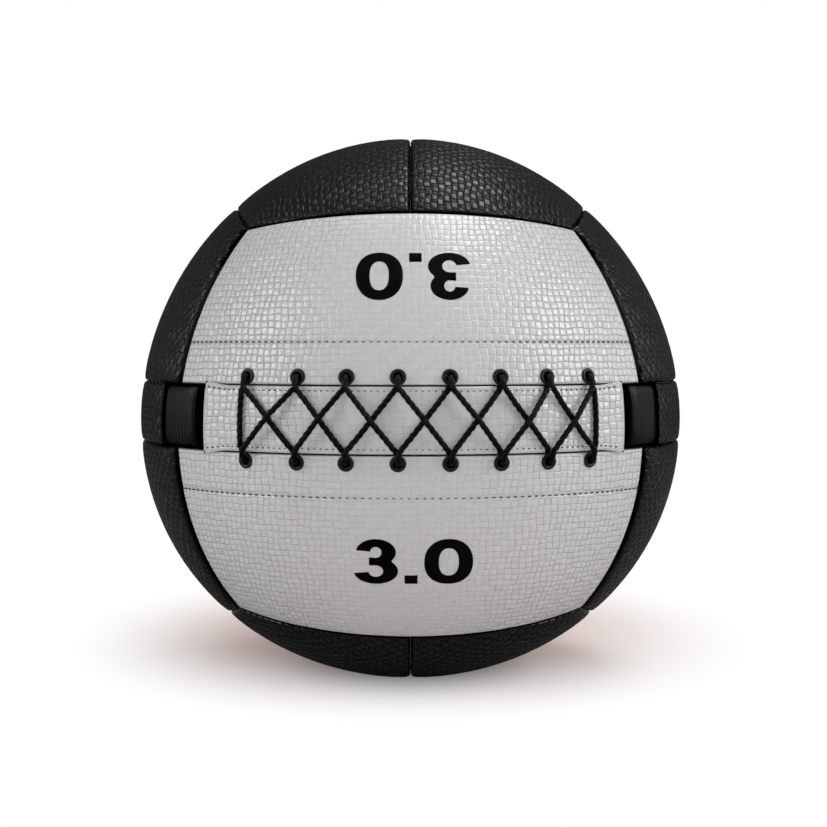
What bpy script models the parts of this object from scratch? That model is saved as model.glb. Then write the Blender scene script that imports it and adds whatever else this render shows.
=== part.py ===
"""Wall ball: a soft training ball of sewn vinyl panels, closed by a criss-cross lace.

Metres, +Z up. The ball rests on the floor at z = 0 and its laced face looks along -Y.
Directions on the ball are given by azimuth, from the laced face towards +X, and by elevation.
"""

import math

import bmesh
import bpy
import numpy as np
from mathutils import Matrix, Vector

MM = 0.001
OVERRUN = 20 * MM
weld_distance = 0.01 * MM

# The ball
radius = 175 * MM
floor_flat = 0.5 * MM
lace_balance = 1.9 * MM
settling = 0.043    # share by which the lower half widens and the upper half narrows

# Panels and the seams between them
panel_thickness = 3.0 * MM
panel_roll = 1.8 * MM
roll_segments = 2
seam_gap = 1.0 * MM
piece_gap = 0.3 * MM
facet_angle = math.radians(9.5)
fine_facet_angle = math.radians(6.5)

# Directions of the seams' corners and middles
top_corner_azimuth = math.radians(48.8)
top_corner_elevation = math.radians(39.7)
bottom_corner_azimuth = math.radians(53.4)
bottom_corner_elevation = math.radians(-43.3)
face_top_elevation = math.radians(42.8)
face_side_azimuth = math.radians(52.3)
face_bottom_elevation = math.radians(-48.4)
side_top_elevation = math.radians(48.2)
side_bottom_elevation = math.radians(-49.0)
opening_half_height = 19.2 * MM
band_end_azimuth = math.radians(58.0)

# Flap under the lace
flap_middle = math.radians(1.0)
flap_half_length = math.radians(43.9)
flap_thickness = 2.2 * MM
flap_roll = 0.7 * MM
flap_end_length = 18 * MM
flap_end_rise = 2.6 * MM
flap_end_widening = 1.4 * MM

# Webbing behind the opening
webbing_half_height = opening_half_height + 3.3 * MM
webbing_thickness = 1.2 * MM
webbing_end_azimuth = math.radians(64)
webbing_ramp_length = 30 * MM

# Facing strips sewn behind the two hems
facing_thickness = 1.0 * MM
facing_height = 26 * MM
facing_end_azimuth = math.radians(48.5)

# Eyelets and their washers
eyelet_count = 8
last_eyelet_azimuth = math.radians(36.0)
eyelet_pitch = math.radians(9.57)
first_pitch_extra = math.radians(1.4)
eyelet_row_height = opening_half_height + 4.7 * MM
eyelet_flange_radius = 4.4 * MM
eyelet_flange_rise = 1.0 * MM
eyelet_seat = 0.1 * MM
eyelet_hole_radius = 2.45 * MM
eyelet_wall = 0.4 * MM
eyelet_roll_radius = 3.7 * MM
washer_radius = 4.2 * MM
washer_thickness = 0.5 * MM
turned_steps = 8

# Lace
lace_diameter = 3.5 * MM
lace_bend = 2.2 * MM
lace_clearance = 0.25 * MM
lace_side_clearance = 0.35 * MM
lace_crossing_gap = 0.5 * MM
lace_side_step = 0.8 * MM
bar_side_step = 2.2 * MM
crossing_half_span = 2.5 * MM
hem_hump = 2.0 * MM
hump_run = 6 * MM
bar_bow_share = 0.1
turned_crossings = (2, 3, 4)
lace_tuck = 8 * MM

# Foam shells, lining, filling and weight bag
foam_window_half_height = opening_half_height + 27.8 * MM
foam_window_end = math.radians(66)
lining_thickness = 1.0 * MM
lining_mouth_radius = 45 * MM
inner_segments = 20
bag_radius = 50 * MM
bag_neck_radius = 9 * MM
bag_neck_length = 16 * MM
tie_radius = 2.2 * MM
bag_steps = 20
bag_rings = 8

ball_centre = Vector((0, lace_balance, radius - floor_flat))

# Levels above the skin of the ball, worked out from the stack of pieces under it
lace_radius = lace_diameter / 2
coarse_sink = radius * (1 - math.cos(facet_angle / math.sqrt(2)))
fine_sink = radius * (1 - math.cos(fine_facet_angle / math.sqrt(2)))
facing_level = -panel_thickness - fine_sink - piece_gap
washer_level = facing_level - facing_thickness - fine_sink / 2 - piece_gap
stack_depth = -washer_level + washer_thickness + piece_gap + eyelet_wall
flap_level = lace_radius + lace_clearance
crossing_level = flap_level + lace_diameter + lace_crossing_gap
flange_level = eyelet_seat + eyelet_flange_rise + lace_radius + lace_clearance
hump_level = flange_level + hem_hump
under_level = -stack_depth - lace_radius - 2 * lace_clearance
webbing_middle_level = under_level - lace_radius - piece_gap
webbing_end_level = facing_level - facing_thickness - piece_gap
notch_height = opening_half_height + seam_gap / 2 - lace_side_clearance - lace_radius
foam_radius = radius - panel_thickness - coarse_sink - piece_gap
lining_radius = radius + webbing_middle_level - webbing_thickness - fine_sink - piece_gap
foam_thickness = foam_radius - lining_radius - piece_gap
filling_radius = lining_radius - lining_thickness - piece_gap


def fresh_scene(title):
    """Empty the scene and give it one collection for the parts and one for the cutters."""
    for obj in list(bpy.data.objects):
        bpy.data.objects.remove(obj, do_unlink=True)
    collections = []
    for name in (title, title + " cutters"):
        collection = bpy.data.collections.new(name)
        bpy.context.scene.collection.children.link(collection)
        collections.append(collection)
    return collections


parts, cutters = fresh_scene("Wall ball")


def material(name, colour, roughness, metallic=0.0):
    made = bpy.data.materials.new(name)
    made.use_nodes = True
    shader = made.node_tree.nodes["Principled BSDF"]
    shader.inputs["Base Color"].default_value = (*colour, 1)
    shader.inputs["Roughness"].default_value = roughness
    shader.inputs["Metallic"].default_value = metallic
    return made


grey_vinyl = material("grey vinyl", (0.56, 0.56, 0.57), 0.42)
black_vinyl = material("black vinyl", (0.032, 0.032, 0.035), 0.4)
webbing_black = material("black webbing", (0.012, 0.012, 0.013), 0.55)
facing_grey = material("facing cloth", (0.2, 0.2, 0.2), 0.8)
eyelet_black = material("black eyelet", (0.02, 0.02, 0.022), 0.38, 0.6)
washer_black = material("black washer", (0.025, 0.025, 0.027), 0.45, 0.6)
lace_black = material("black lace", (0.012, 0.012, 0.012), 0.6)
foam_white = material("foam", (0.8, 0.78, 0.7), 0.9)
lining_cloth = material("lining cloth", (0.55, 0.55, 0.52), 0.85)
fibre_white = material("fibre filling", (0.75, 0.74, 0.72), 0.95)
bag_canvas = material("weight bag canvas", (0.3, 0.27, 0.2), 0.85)
tie_cord = material("tie cord", (0.7, 0.66, 0.55), 0.8)


def add_object(name, mesh, look=None, collection=parts):
    obj = bpy.data.objects.new(name, mesh)
    collection.objects.link(obj)
    if look:
        mesh.materials.append(look)
    return obj


def mesh_from(bm, name):
    mesh = bpy.data.meshes.new(name)
    bm.to_mesh(mesh)
    bm.free()
    return mesh


def smooth(obj, angle=math.radians(50)):
    obj.data.shade_smooth()
    obj.data.set_sharp_from_angle(angle=angle)


def direction(azimuth, elevation):
    """Unit vector of a direction from the ball's centre."""
    return Vector((
        math.cos(elevation) * math.sin(azimuth),
        -math.cos(elevation) * math.cos(azimuth),
        math.sin(elevation),
    ))


def skin_normal(out):
    """The way straight out of the settled skin, at a direction from the ball's centre."""
    wide = 1 - settling * out.z
    lean = settling * (out.x ** 2 + out.y ** 2)
    return Vector((out.x, out.y, out.z * wide + lean)).normalized()


def skin_place(out, level=0.0):
    """A point at a level above the settled skin, at a direction from the ball's centre."""
    wide = 1 - settling * out.z
    skin = Vector((out.x * wide, out.y * wide, out.z)) * radius
    return ball_centre + skin + skin_normal(out) * level


def settle(bm):
    """Move a round form about the origin to its place in the settled ball."""
    for vert in bm.verts:
        vert.co = skin_place(vert.co.normalized(), vert.co.length - radius)


class Seam:
    """A flat cut through the ball: its unit normal, and its share of the radius from the centre."""

    def __init__(self, normal, offset_share):
        self.normal = normal.normalized()
        self.offset_share = offset_share

    @classmethod
    def through(cls, first, middle, last):
        normal = (middle - first).cross(last - first).normalized()
        return cls(normal, normal.dot(first))

    @classmethod
    def level(cls, height):
        return cls(Vector((0, 0, 1)), height / radius)

    @classmethod
    def meridian(cls, azimuth):
        return cls(Vector((math.cos(azimuth), math.sin(azimuth), 0)), 0.0)

    def moved_towards(self, inside, distance):
        """The parallel cut that lies this far along the surface on the side of a direction."""
        angle = math.acos(self.offset_share)
        if self.normal.dot(inside) > self.offset_share:
            distance = -distance
        return Seam(self.normal, math.cos(angle + distance / radius))

    def meets(self, other, near):
        """The direction in which two cuts meet on the ball, nearest to a given one."""
        across = self.normal.cross(other.normal)
        dot = self.normal.dot(other.normal)
        share = self.offset_share - other.offset_share * dot
        other_share = other.offset_share - self.offset_share * dot
        foot = (share * self.normal + other_share * other.normal) / (1 - dot * dot)
        step = across.normalized() * math.sqrt(max(0.0, 1 - foot.length_squared))
        return max((foot + step, foot - step), key=near.dot)

    def arc(self, start, end, shares):
        """Directions along the cut from start to end, at these shares of the way."""
        hub = self.normal * self.offset_share
        a, b = start - hub, end - hub
        angle = math.atan2(self.normal.dot(a.cross(b)), a.dot(b))
        return [hub + Matrix.Rotation(angle * share, 3, self.normal) @ a for share in shares]


def mirrored(seam):
    """The same seam on the back of the ball."""
    normal = seam.normal
    return Seam(Vector((normal.x, -normal.y, normal.z)), seam.offset_share)


def flipped(seam):
    """The same seam on the other side of the ball."""
    normal = seam.normal
    return Seam(Vector((-normal.x, normal.y, normal.z)), seam.offset_share)


top_corner = direction(top_corner_azimuth, top_corner_elevation)
top_corner_left = direction(-top_corner_azimuth, top_corner_elevation)
bottom_corner = direction(bottom_corner_azimuth, bottom_corner_elevation)
bottom_corner_left = direction(-bottom_corner_azimuth, bottom_corner_elevation)
top_corner_back = direction(math.pi - top_corner_azimuth, top_corner_elevation)
bottom_corner_back = direction(math.pi - bottom_corner_azimuth, bottom_corner_elevation)

face_top = Seam.through(top_corner_left, direction(0, face_top_elevation), top_corner)
face_bottom = Seam.through(bottom_corner_left, direction(0, face_bottom_elevation), bottom_corner)
face_right = Seam.through(top_corner, direction(face_side_azimuth, 0), bottom_corner)
side_top = Seam.through(
    top_corner, direction(math.pi / 2, side_top_elevation), top_corner_back
)
side_bottom = Seam.through(
    bottom_corner, direction(math.pi / 2, side_bottom_elevation), bottom_corner_back
)
middle_seam = Seam(Vector((1, 0, 0)), 0.0)
band_top = Seam.level(opening_half_height)
band_bottom = Seam.level(-opening_half_height)
band_front_end = Seam.meridian(band_end_azimuth)


def patch_grid(edges, inside, facet, edge_inset):
    """An open grid of directions filling the space between four cuts: left, right, bottom, top."""
    left, right, bottom, top = [edge.moved_towards(inside, edge_inset) for edge in edges]
    corners = {
        (0, 0): left.meets(bottom, inside),
        (1, 0): right.meets(bottom, inside),
        (0, 1): left.meets(top, inside),
        (1, 1): right.meets(top, inside),
    }
    across = max(corners[0, 0].angle(corners[1, 0]), corners[0, 1].angle(corners[1, 1]))
    up = max(corners[0, 0].angle(corners[0, 1]), corners[1, 0].angle(corners[1, 1]))
    columns = 2 * math.ceil(across / facet / 2)
    rows = 2 * math.ceil(up / facet / 2)
    u_shares = np.linspace(0, 1, columns + 1)
    v_shares = np.linspace(0, 1, rows + 1)
    low = bottom.arc(corners[0, 0], corners[1, 0], u_shares)
    high = top.arc(corners[0, 1], corners[1, 1], u_shares)
    west = left.arc(corners[0, 0], corners[0, 1], v_shares)
    east = right.arc(corners[1, 0], corners[1, 1], v_shares)

    bm = bmesh.new()
    bmesh.ops.create_grid(bm, x_segments=columns, y_segments=rows, size=1)
    for vert in bm.verts:
        u = (vert.co.x + 1) / 2
        v = (vert.co.y + 1) / 2
        i, j = round(u * columns), round(v * rows)
        ruled = (1 - v) * low[i] + v * high[i] + (1 - u) * west[j] + u * east[j]
        twice = (
            (1 - u) * (1 - v) * corners[0, 0] + u * (1 - v) * corners[1, 0]
            + (1 - u) * v * corners[0, 1] + u * v * corners[1, 1]
        )
        vert.co = (ruled - twice).normalized()
    return bm


def add_wall(bm, thickness):
    """Give an open surface round the middle of the ball a wall that runs straight inwards."""
    made = bmesh.ops.extrude_face_region(bm, geom=list(bm.faces), use_keep_orig=True)
    for item in made["geom"]:
        if isinstance(item, bmesh.types.BMVert):
            item.co *= 1 - thickness / item.co.length
    bmesh.ops.recalc_face_normals(bm, faces=list(bm.faces))


def thicken(bm, level, thickness, roll, segments=roll_segments):
    """Turn a grid of directions into a closed pad whose outer edges are rolled over."""
    for vert in bm.verts:
        vert.co = vert.co.normalized() * (radius + level(vert.co))
    outer = set(bm.faces)
    add_wall(bm, thickness)
    rim = [
        edge for edge in bm.edges
        if len([face for face in edge.link_faces if face in outer]) == 1
    ]
    if roll:
        bmesh.ops.bevel(
            bm, geom=rim, offset=roll, segments=segments, profile=0.5,
            affect="EDGES", clamp_overlap=True,
        )
    settle(bm)


def on_surface(_direction):
    return 0.0


def sewn_panel(name, edges, inside, look, facet=facet_angle):
    """One vinyl panel between four seams, with its rolled edges half a seam gap from each."""
    bm = patch_grid(edges, inside, facet, seam_gap / 2)
    thicken(bm, on_surface, panel_thickness, panel_roll)
    obj = add_object(name, mesh_from(bm, name), look)
    smooth(obj)
    return obj


def cut(obj, cutter):
    modifier = obj.modifiers.new(cutter.name, "BOOLEAN")
    modifier.operation = "DIFFERENCE"
    modifier.object = cutter


def as_cutter(name, mesh):
    obj = add_object(name, mesh, collection=cutters)
    obj.hide_render = True
    obj.display_type = "WIRE"
    return obj


def surface_frame(azimuth, elevation, level):
    """The place and turn of a piece whose own Z points straight out of the ball."""
    out = direction(azimuth, elevation)
    turn = skin_normal(out).to_track_quat("Z", "Y").to_matrix().to_4x4()
    return Matrix.Translation(skin_place(out, level)) @ turn


def drill_cutter(name, places, drill_radius, sides=turned_steps):
    """Straight drills through the skin of the ball at several places."""
    bm = bmesh.new()
    for azimuth, elevation in places:
        bmesh.ops.create_cone(
            bm, cap_ends=True, segments=sides, radius1=drill_radius, radius2=drill_radius,
            depth=OVERRUN, matrix=surface_frame(azimuth, elevation, 0),
        )
    return as_cutter(name, mesh_from(bm, name))


def box_cutter(name, low, high):
    bm = bmesh.new()
    bmesh.ops.create_cube(bm, size=1)
    low, high = Vector(low), Vector(high)
    for vert in bm.verts:
        for axis in range(3):
            vert.co[axis] = high[axis] if vert.co[axis] > 0 else low[axis]
    return as_cutter(name, mesh_from(bm, name))


def turned(name, profile, look, steps, collection=parts, closed=True):
    """A turned piece: a profile of (radius, height) points swept around Z."""
    mesh = bpy.data.meshes.new(name)
    count = len(profile)
    edges = [(i, (i + 1) % count) for i in range(count if closed else count - 1)]
    mesh.from_pydata([(r, 0, z) for r, z in profile], edges, [])
    obj = add_object(name, mesh, look, collection)
    screw = obj.modifiers.new("turn", "SCREW")
    screw.steps = screw.render_steps = steps
    screw.use_merge_vertices = True
    screw.merge_threshold = weld_distance
    screw.use_smooth_shade = True
    return obj


def ball_surface(shape_radius, cut_place=None, cut_normal=None):
    """A ball surface around the ball's centre, without what lies beyond a cut if one is given."""
    bm = bmesh.new()
    bmesh.ops.create_uvsphere(
        bm, u_segments=inner_segments, v_segments=inner_segments // 2, radius=shape_radius
    )
    if cut_place:
        bmesh.ops.bisect_plane(
            bm, geom=list(bm.verts) + list(bm.edges) + list(bm.faces),
            plane_co=cut_place, plane_no=cut_normal, clear_outer=True,
        )
    return bm


def add_ball_piece(name, bm, look):
    settle(bm)
    obj = add_object(name, mesh_from(bm, name), look)
    smooth(obj)
    return obj


def build_panels():
    """The sewn cover: grey front and back, black sides, top and bottom."""
    face_left = flipped(face_right)
    back_right, back_left = mirrored(face_right), mirrored(face_left)
    back_top, back_bottom = mirrored(face_top), mirrored(face_bottom)
    high = direction(0, face_top_elevation / 2)
    low = direction(0, face_bottom_elevation / 2)
    back = direction(math.pi, 0)
    high_back = direction(math.pi, face_top_elevation / 2)
    low_back = direction(math.pi, face_bottom_elevation / 2)

    built = {}
    for name, edges, inside in (
        ("front_upper_panel", (face_left, face_right, band_top, face_top), high),
        ("front_lower_panel", (face_left, face_right, face_bottom, band_bottom), low),
        ("back_upper_panel", (back_right, back_left, band_top, back_top), high_back),
        ("back_band", (back_right, back_left, band_bottom, band_top), back),
        ("back_lower_panel", (back_right, back_left, back_bottom, band_bottom), low_back),
    ):
        facet = fine_facet_angle if name.startswith("front") else facet_angle
        built[name] = sewn_panel(name, edges, inside, grey_vinyl, facet)

    for side, sign, turn in (("right", 1, lambda seam: seam), ("left", -1, flipped)):
        front, back_seam = turn(face_right), turn(back_right)
        upper, lower = turn(side_top), turn(side_bottom)
        across = sign * math.pi / 2
        for name, edges, inside, facet in (
            (side + "_upper_panel", (front, back_seam, band_top, upper),
             direction(across, side_top_elevation / 2), facet_angle),
            (side + "_band", (turn(band_front_end), back_seam, band_bottom, band_top),
             direction(across, 0), facet_angle),
            (side + "_lower_panel", (front, back_seam, lower, band_bottom),
             direction(across, side_bottom_elevation / 2), facet_angle),
            ("top_" + side + "_panel", (face_top, back_top, middle_seam, upper),
             direction(across, (side_top_elevation + math.pi / 2) / 2), facet_angle),
            ("bottom_" + side + "_panel", (face_bottom, back_bottom, middle_seam, lower),
             direction(across, (side_bottom_elevation - math.pi / 2) / 2), fine_facet_angle),
        ):
            built[name] = sewn_panel(name, edges, inside, black_vinyl, facet)
    floor = box_cutter("floor_cut", (-radius, -radius, -OVERRUN), (radius, radius, 0))
    for side in ("left", "right"):
        cut(built["bottom_" + side + "_panel"], floor)
    return built


def column_azimuth(column):
    """The eyelets' pitch is even, apart from a little more before the first column."""
    extra = 0 if column else first_pitch_extra
    return last_eyelet_azimuth - (eyelet_count - 1 - column) * eyelet_pitch - extra


def notch_step(column):
    """Sideways place of the notch where the lace comes up beside the flap, from its eyelet."""
    if column == 0:
        return -bar_side_step
    return bar_side_step if column == eyelet_count - 1 else -lace_side_step


def hem_side(column):
    """Side on which a strand crosses over the hem: away from the notch."""
    return -1 if column == eyelet_count - 1 else 1


def rows_and_columns():
    return [(row, column) for row in (1, -1) for column in range(eyelet_count)]


def build_flap():
    """The doubled flap under the lace, pressed in beside each eyelet and lapped over the hem ends."""
    def lift(vert_direction):
        azimuth = math.atan2(vert_direction.x, -vert_direction.y)
        inset = (flap_half_length - abs(azimuth - flap_middle)) * radius
        share = min(1, max(0, 1 - inset / flap_end_length))
        return share * share * (3 - 2 * share)

    edges = (
        Seam.meridian(flap_middle - flap_half_length), Seam.meridian(flap_middle + flap_half_length),
        band_bottom, band_top,
    )
    bm = patch_grid(edges, direction(flap_middle, 0), fine_facet_angle, seam_gap / 2)
    edge_height = opening_half_height - seam_gap / 2
    for vert in bm.verts:
        vert.co.z *= 1 + lift(vert.co) * flap_end_widening / edge_height
        vert.co.normalize()
    thicken(bm, lambda way: lift(way) * flap_end_rise, flap_thickness, flap_roll, 1)
    flap = add_object("lace_flap", mesh_from(bm, "lace_flap"), grey_vinyl)
    smooth(flap)
    places = [
        (column_azimuth(column) + notch_step(column) / radius, row * notch_height / radius)
        for row, column in rows_and_columns()
    ]
    cut(flap, drill_cutter("lace_notches", places, lace_diameter / 2 + lace_side_clearance))
    return flap


def build_webbing():
    """The black webbing behind the opening: near the band ends it lies close under the skin."""
    def level(way):
        azimuth = math.atan2(way.x, -way.y)
        beyond = (abs(azimuth - flap_middle) - flap_half_length) * radius + flap_end_length
        share = min(1, max(0, beyond / webbing_ramp_length))
        return webbing_middle_level + share * (webbing_end_level - webbing_middle_level)

    edges = (
        Seam.meridian(-webbing_end_azimuth), Seam.meridian(webbing_end_azimuth),
        Seam.level(-webbing_half_height), Seam.level(webbing_half_height),
    )
    bm = patch_grid(edges, direction(0, 0), fine_facet_angle, 0)
    thicken(bm, level, webbing_thickness, 0)
    smooth(add_object("opening_webbing", mesh_from(bm, "opening_webbing"), webbing_black))


def build_facings(drills):
    """Cloth strips sewn behind the hems, which the eyelets also go through."""
    for name, row in (("upper_hem_facing", 1), ("lower_hem_facing", -1)):
        near = row * opening_half_height
        far = row * (opening_half_height + facing_height)
        low, high = sorted((near, far))
        edges = (
            Seam.meridian(-facing_end_azimuth), Seam.meridian(facing_end_azimuth),
            Seam.level(low), Seam.level(high),
        )
        inside = direction(0, (near + far) / 2 / radius)
        bm = patch_grid(edges, inside, fine_facet_angle, seam_gap / 2)
        thicken(bm, lambda way: facing_level, facing_thickness, 0)
        strip = add_object(name, mesh_from(bm, name), facing_grey)
        smooth(strip)
        cut(strip, drills)


def build_eyelets():
    """A black eyelet through each hole of the hems, rolled over a washer behind."""
    barrel = eyelet_hole_radius + eyelet_wall
    roll_level = -stack_depth + eyelet_wall
    eyelet_profile = [
        (eyelet_flange_radius - eyelet_flange_rise, eyelet_seat + eyelet_flange_rise),
        (eyelet_flange_radius, eyelet_seat),
        (barrel, eyelet_seat),
        (barrel, roll_level),
        (eyelet_roll_radius, roll_level),
        (eyelet_hole_radius, -stack_depth),
        (eyelet_hole_radius, eyelet_seat + eyelet_flange_rise - eyelet_wall),
    ]
    washer_top = washer_level
    washer_profile = [
        (washer_radius, washer_top),
        (washer_radius, washer_top - washer_thickness),
        (barrel + piece_gap, washer_top - washer_thickness),
        (barrel + piece_gap, washer_top),
    ]
    for row, column in rows_and_columns():
        label = ("upper" if row > 0 else "lower") + "_" + str(column + 1)
        place = surface_frame(column_azimuth(column), row * eyelet_row_height / radius, 0)
        for kind, profile, look in (
            ("eyelet_", eyelet_profile, eyelet_black),
            ("washer_", washer_profile, washer_black),
        ):
            turned(kind + label, profile, look, turned_steps).matrix_world = place


def rounded(route, bend, step=math.pi / 4):
    """The route with each corner replaced by an arc of the bend radius, or the largest that fits."""
    points = [route[0]]
    for before, corner, after in zip(route, route[1:], route[2:]):
        back, ahead = before - corner, after - corner
        turn = math.pi - back.angle(ahead)
        steps = math.ceil(turn / step)
        reach = min(bend * math.tan(turn / 2), back.length / 2, ahead.length / 2)
        if steps < 1 or turn < step / 3:
            points.append(corner)
            continue
        across = (back.normalized() + ahead.normalized()).normalized()
        hub = corner + across * reach / math.sin(turn / 2)
        start = corner + back.normalized() * reach - hub
        axis = back.cross(ahead).normalized()
        points += [
            hub + Matrix.Rotation(-turn * i / steps, 3, axis) @ start for i in range(steps + 1)
        ]
    return points + [route[-1]]


def lace_point(column, step, height, level):
    """A point of the lace: sideways from an eyelet, along the ball from its middle, above its skin."""
    azimuth = column_azimuth(column) + step / radius
    return skin_place(direction(azimuth, height / radius), level)


def eyelet_loop(row, column):
    """Over the hem, down through the eyelet, back under the hem and up through the notch."""
    notch = notch_step(column)
    return [
        lace_point(column, hem_side(column) * lace_side_step, row * notch_height, hump_level),
        lace_point(column, 0, row * eyelet_row_height, flange_level),
        lace_point(column, 0, row * eyelet_row_height, under_level),
        lace_point(column, notch, row * notch_height, under_level),
        lace_point(column, notch, row * notch_height, flap_level),
    ]


def diagonal(row, column):
    """Points of the strand across the flap, from one eyelet to the opposite row's next one."""
    last = column + 1 == eyelet_count - 1
    arrival = -lace_side_step if last else notch_step(column + 1)
    start = lace_side_step
    end = (column_azimuth(column + 1) - column_azimuth(column)) * radius + arrival
    lies_over = (row < 0) != (column in turned_crossings)
    if not lies_over:
        near = (hump_run + crossing_half_span) / (2 * notch_height)
        stations = [(near, flap_level), (0.5, flap_level), (1 - near, flap_level)]
    else:
        flat = crossing_half_span / (2 * notch_height)
        stations = [(0.5 - flat, crossing_level), (0.5 + flat, crossing_level)]
    return [
        lace_point(
            column, start + (end - start) * share, row * notch_height * (1 - 2 * share), level
        )
        for share, level in stations
    ]


def bar(column):
    """The upright strand at an end of the lacing, bowed a little outwards."""
    shares = (0.5, 0, -0.5)
    return [
        lace_point(
            column, notch_step(column) * (1 + bar_bow_share * (1 - abs(share))),
            share * notch_height, flap_level,
        )
        for share in shares
    ]


def lace_route():
    """The whole lace: it starts and ends under the lower hem at the last eyelet."""
    last = eyelet_count - 1
    lower_end = eyelet_loop(-1, last)
    tuck = -(eyelet_row_height + lace_tuck)
    route = [lace_point(last, -lace_tuck / 2, tuck, under_level)] + lower_end[2::-1]
    row = 1
    for column in range(last - 1, -1, -1):
        route += diagonal(row, column)[::-1] + eyelet_loop(row, column)
        row = -row
    row = 1 if row < 0 else row
    route += bar(0) + eyelet_loop(-1, 0)[::-1]
    row = -1
    for column in range(last):
        route += diagonal(row, column)
        row = -row
        loop = eyelet_loop(row, column + 1)
        route += loop if column + 1 == last else loop[::-1]
    route += bar(last) + lower_end[:2:-1]
    route.append(lace_point(last, notch_step(last) + lace_tuck / 2, tuck, under_level))
    return route


def closest_approach(points, apart):
    """The least distance between stretches of the route that lie further apart along it."""
    places = np.array(points)
    dense = np.concatenate([
        np.linspace(a, b, 4, endpoint=False) for a, b in zip(places, places[1:])
    ])
    along = np.concatenate([[0], np.cumsum(np.linalg.norm(np.diff(dense, axis=0), axis=1))])
    distance = np.linalg.norm(dense[:, None] - dense[None], axis=2)
    distance[np.abs(along[:, None] - along[None]) < apart] = np.inf
    return distance.min()


def build_lace():
    """One unbroken cord laced criss-cross through both rows of eyelets."""
    points = rounded(lace_route(), lace_bend)
    gap = closest_approach(points, 3 * lace_diameter) - lace_diameter
    print(f"lace: {len(points)} points, least gap to itself {gap / MM:.2f} mm")
    curve = bpy.data.curves.new("lace", "CURVE")
    curve.dimensions = "3D"
    curve.bevel_depth = lace_diameter / 2
    curve.bevel_resolution = 2
    curve.use_fill_caps = True
    spline = curve.splines.new("POLY")
    spline.points.add(len(points) - 1)
    for spline_point, point in zip(spline.points, points):
        spline_point.co = (*point, 1)
    add_object("lace", curve, lace_black)


def build_inside():
    """Foam shells under the cover, then the lining, its filling and the weight bag at the heart."""
    half_gap = piece_gap / 2
    window = box_cutter(
        "foam_window",
        ball_centre + Vector((-radius * math.sin(foam_window_end), -radius - OVERRUN,
                              -foam_window_half_height)),
        ball_centre + Vector((radius * math.sin(foam_window_end),
                              -radius * math.cos(foam_window_end), foam_window_half_height)),
    )
    halves = (("upper", Vector((0, 0, -1))), ("lower", Vector((0, 0, 1))))
    for half, beyond in halves:
        bm = ball_surface(foam_radius, -beyond * half_gap, beyond)
        add_wall(bm, foam_thickness)
        cut(add_ball_piece(half + "_foam_shell", bm, foam_white), window)

    mouth_depth = math.sqrt(lining_radius ** 2 - lining_mouth_radius ** 2)
    bm = ball_surface(lining_radius, Vector((0, -mouth_depth, 0)), Vector((0, -1, 0)))
    add_wall(bm, lining_thickness)
    add_ball_piece("lining", bm, lining_cloth)

    def bag_profile(body, neck):
        start = math.asin(neck / body)
        turns = [start] + [math.pi * ring / bag_rings for ring in range(1, bag_rings + 1)]
        top = body + bag_neck_length
        return [(0, top), (neck, top)] + [
            (body * math.sin(turn), body * math.cos(turn)) for turn in turns
        ]

    pocket_neck = bag_neck_radius + 2 * (tie_radius + piece_gap)
    bag = turned("weight_bag", bag_profile(bag_radius, bag_neck_radius), bag_canvas, bag_steps,
                 closed=False)
    pocket = turned("bag_pocket", bag_profile(bag_radius + piece_gap, pocket_neck), None, bag_steps,
                    cutters, closed=False)
    pocket.hide_render = True
    pocket.display_type = "WIRE"
    bag.location = pocket.location = ball_centre
    for half, beyond in halves:
        bm = ball_surface(filling_radius, -beyond * half_gap, beyond)
        bmesh.ops.contextual_create(bm, geom=[edge for edge in bm.edges if edge.is_boundary])
        bmesh.ops.recalc_face_normals(bm, faces=list(bm.faces))
        cut(add_ball_piece(half + "_filling", bm, fibre_white), pocket)

    bpy.ops.mesh.primitive_torus_add(
        major_radius=bag_neck_radius + tie_radius + piece_gap, minor_radius=tie_radius,
        major_segments=turned_steps + turned_steps // 2, minor_segments=turned_steps // 2,
        location=ball_centre + Vector((0, 0, bag_radius + bag_neck_length / 2)),
    )
    tie = bpy.context.active_object
    tie.name = tie.data.name = "bag_tie"
    for collection in list(tie.users_collection):
        collection.objects.unlink(tie)
    parts.objects.link(tie)
    tie.data.materials.append(tie_cord)
    tie.data.shade_smooth()


panels = build_panels()
eyelet_drills = drill_cutter(
    "eyelet_drills",
    [
        (column_azimuth(column), row * eyelet_row_height / radius)
        for row, column in rows_and_columns()
    ],
    eyelet_hole_radius + eyelet_wall + piece_gap,
)
cut(panels["front_upper_panel"], eyelet_drills)
cut(panels["front_lower_panel"], eyelet_drills)
build_flap()
build_webbing()
build_facings(eyelet_drills)
build_eyelets()
build_lace()
build_inside()
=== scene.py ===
import math

import bmesh
import bpy
import numpy as np
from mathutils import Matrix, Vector


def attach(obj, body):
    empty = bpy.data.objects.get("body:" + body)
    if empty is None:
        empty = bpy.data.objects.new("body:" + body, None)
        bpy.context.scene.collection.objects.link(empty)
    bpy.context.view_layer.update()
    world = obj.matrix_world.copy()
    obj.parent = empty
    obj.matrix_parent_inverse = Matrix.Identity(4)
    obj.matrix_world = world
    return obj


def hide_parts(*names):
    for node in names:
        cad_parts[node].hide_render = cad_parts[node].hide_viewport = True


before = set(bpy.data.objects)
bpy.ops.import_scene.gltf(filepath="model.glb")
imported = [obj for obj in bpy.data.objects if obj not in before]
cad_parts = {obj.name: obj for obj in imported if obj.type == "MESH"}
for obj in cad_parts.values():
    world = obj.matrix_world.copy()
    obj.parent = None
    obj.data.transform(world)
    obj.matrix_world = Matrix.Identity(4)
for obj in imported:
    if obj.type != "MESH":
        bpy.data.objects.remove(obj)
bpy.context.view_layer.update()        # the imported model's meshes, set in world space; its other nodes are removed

mm = 0.001
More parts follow.
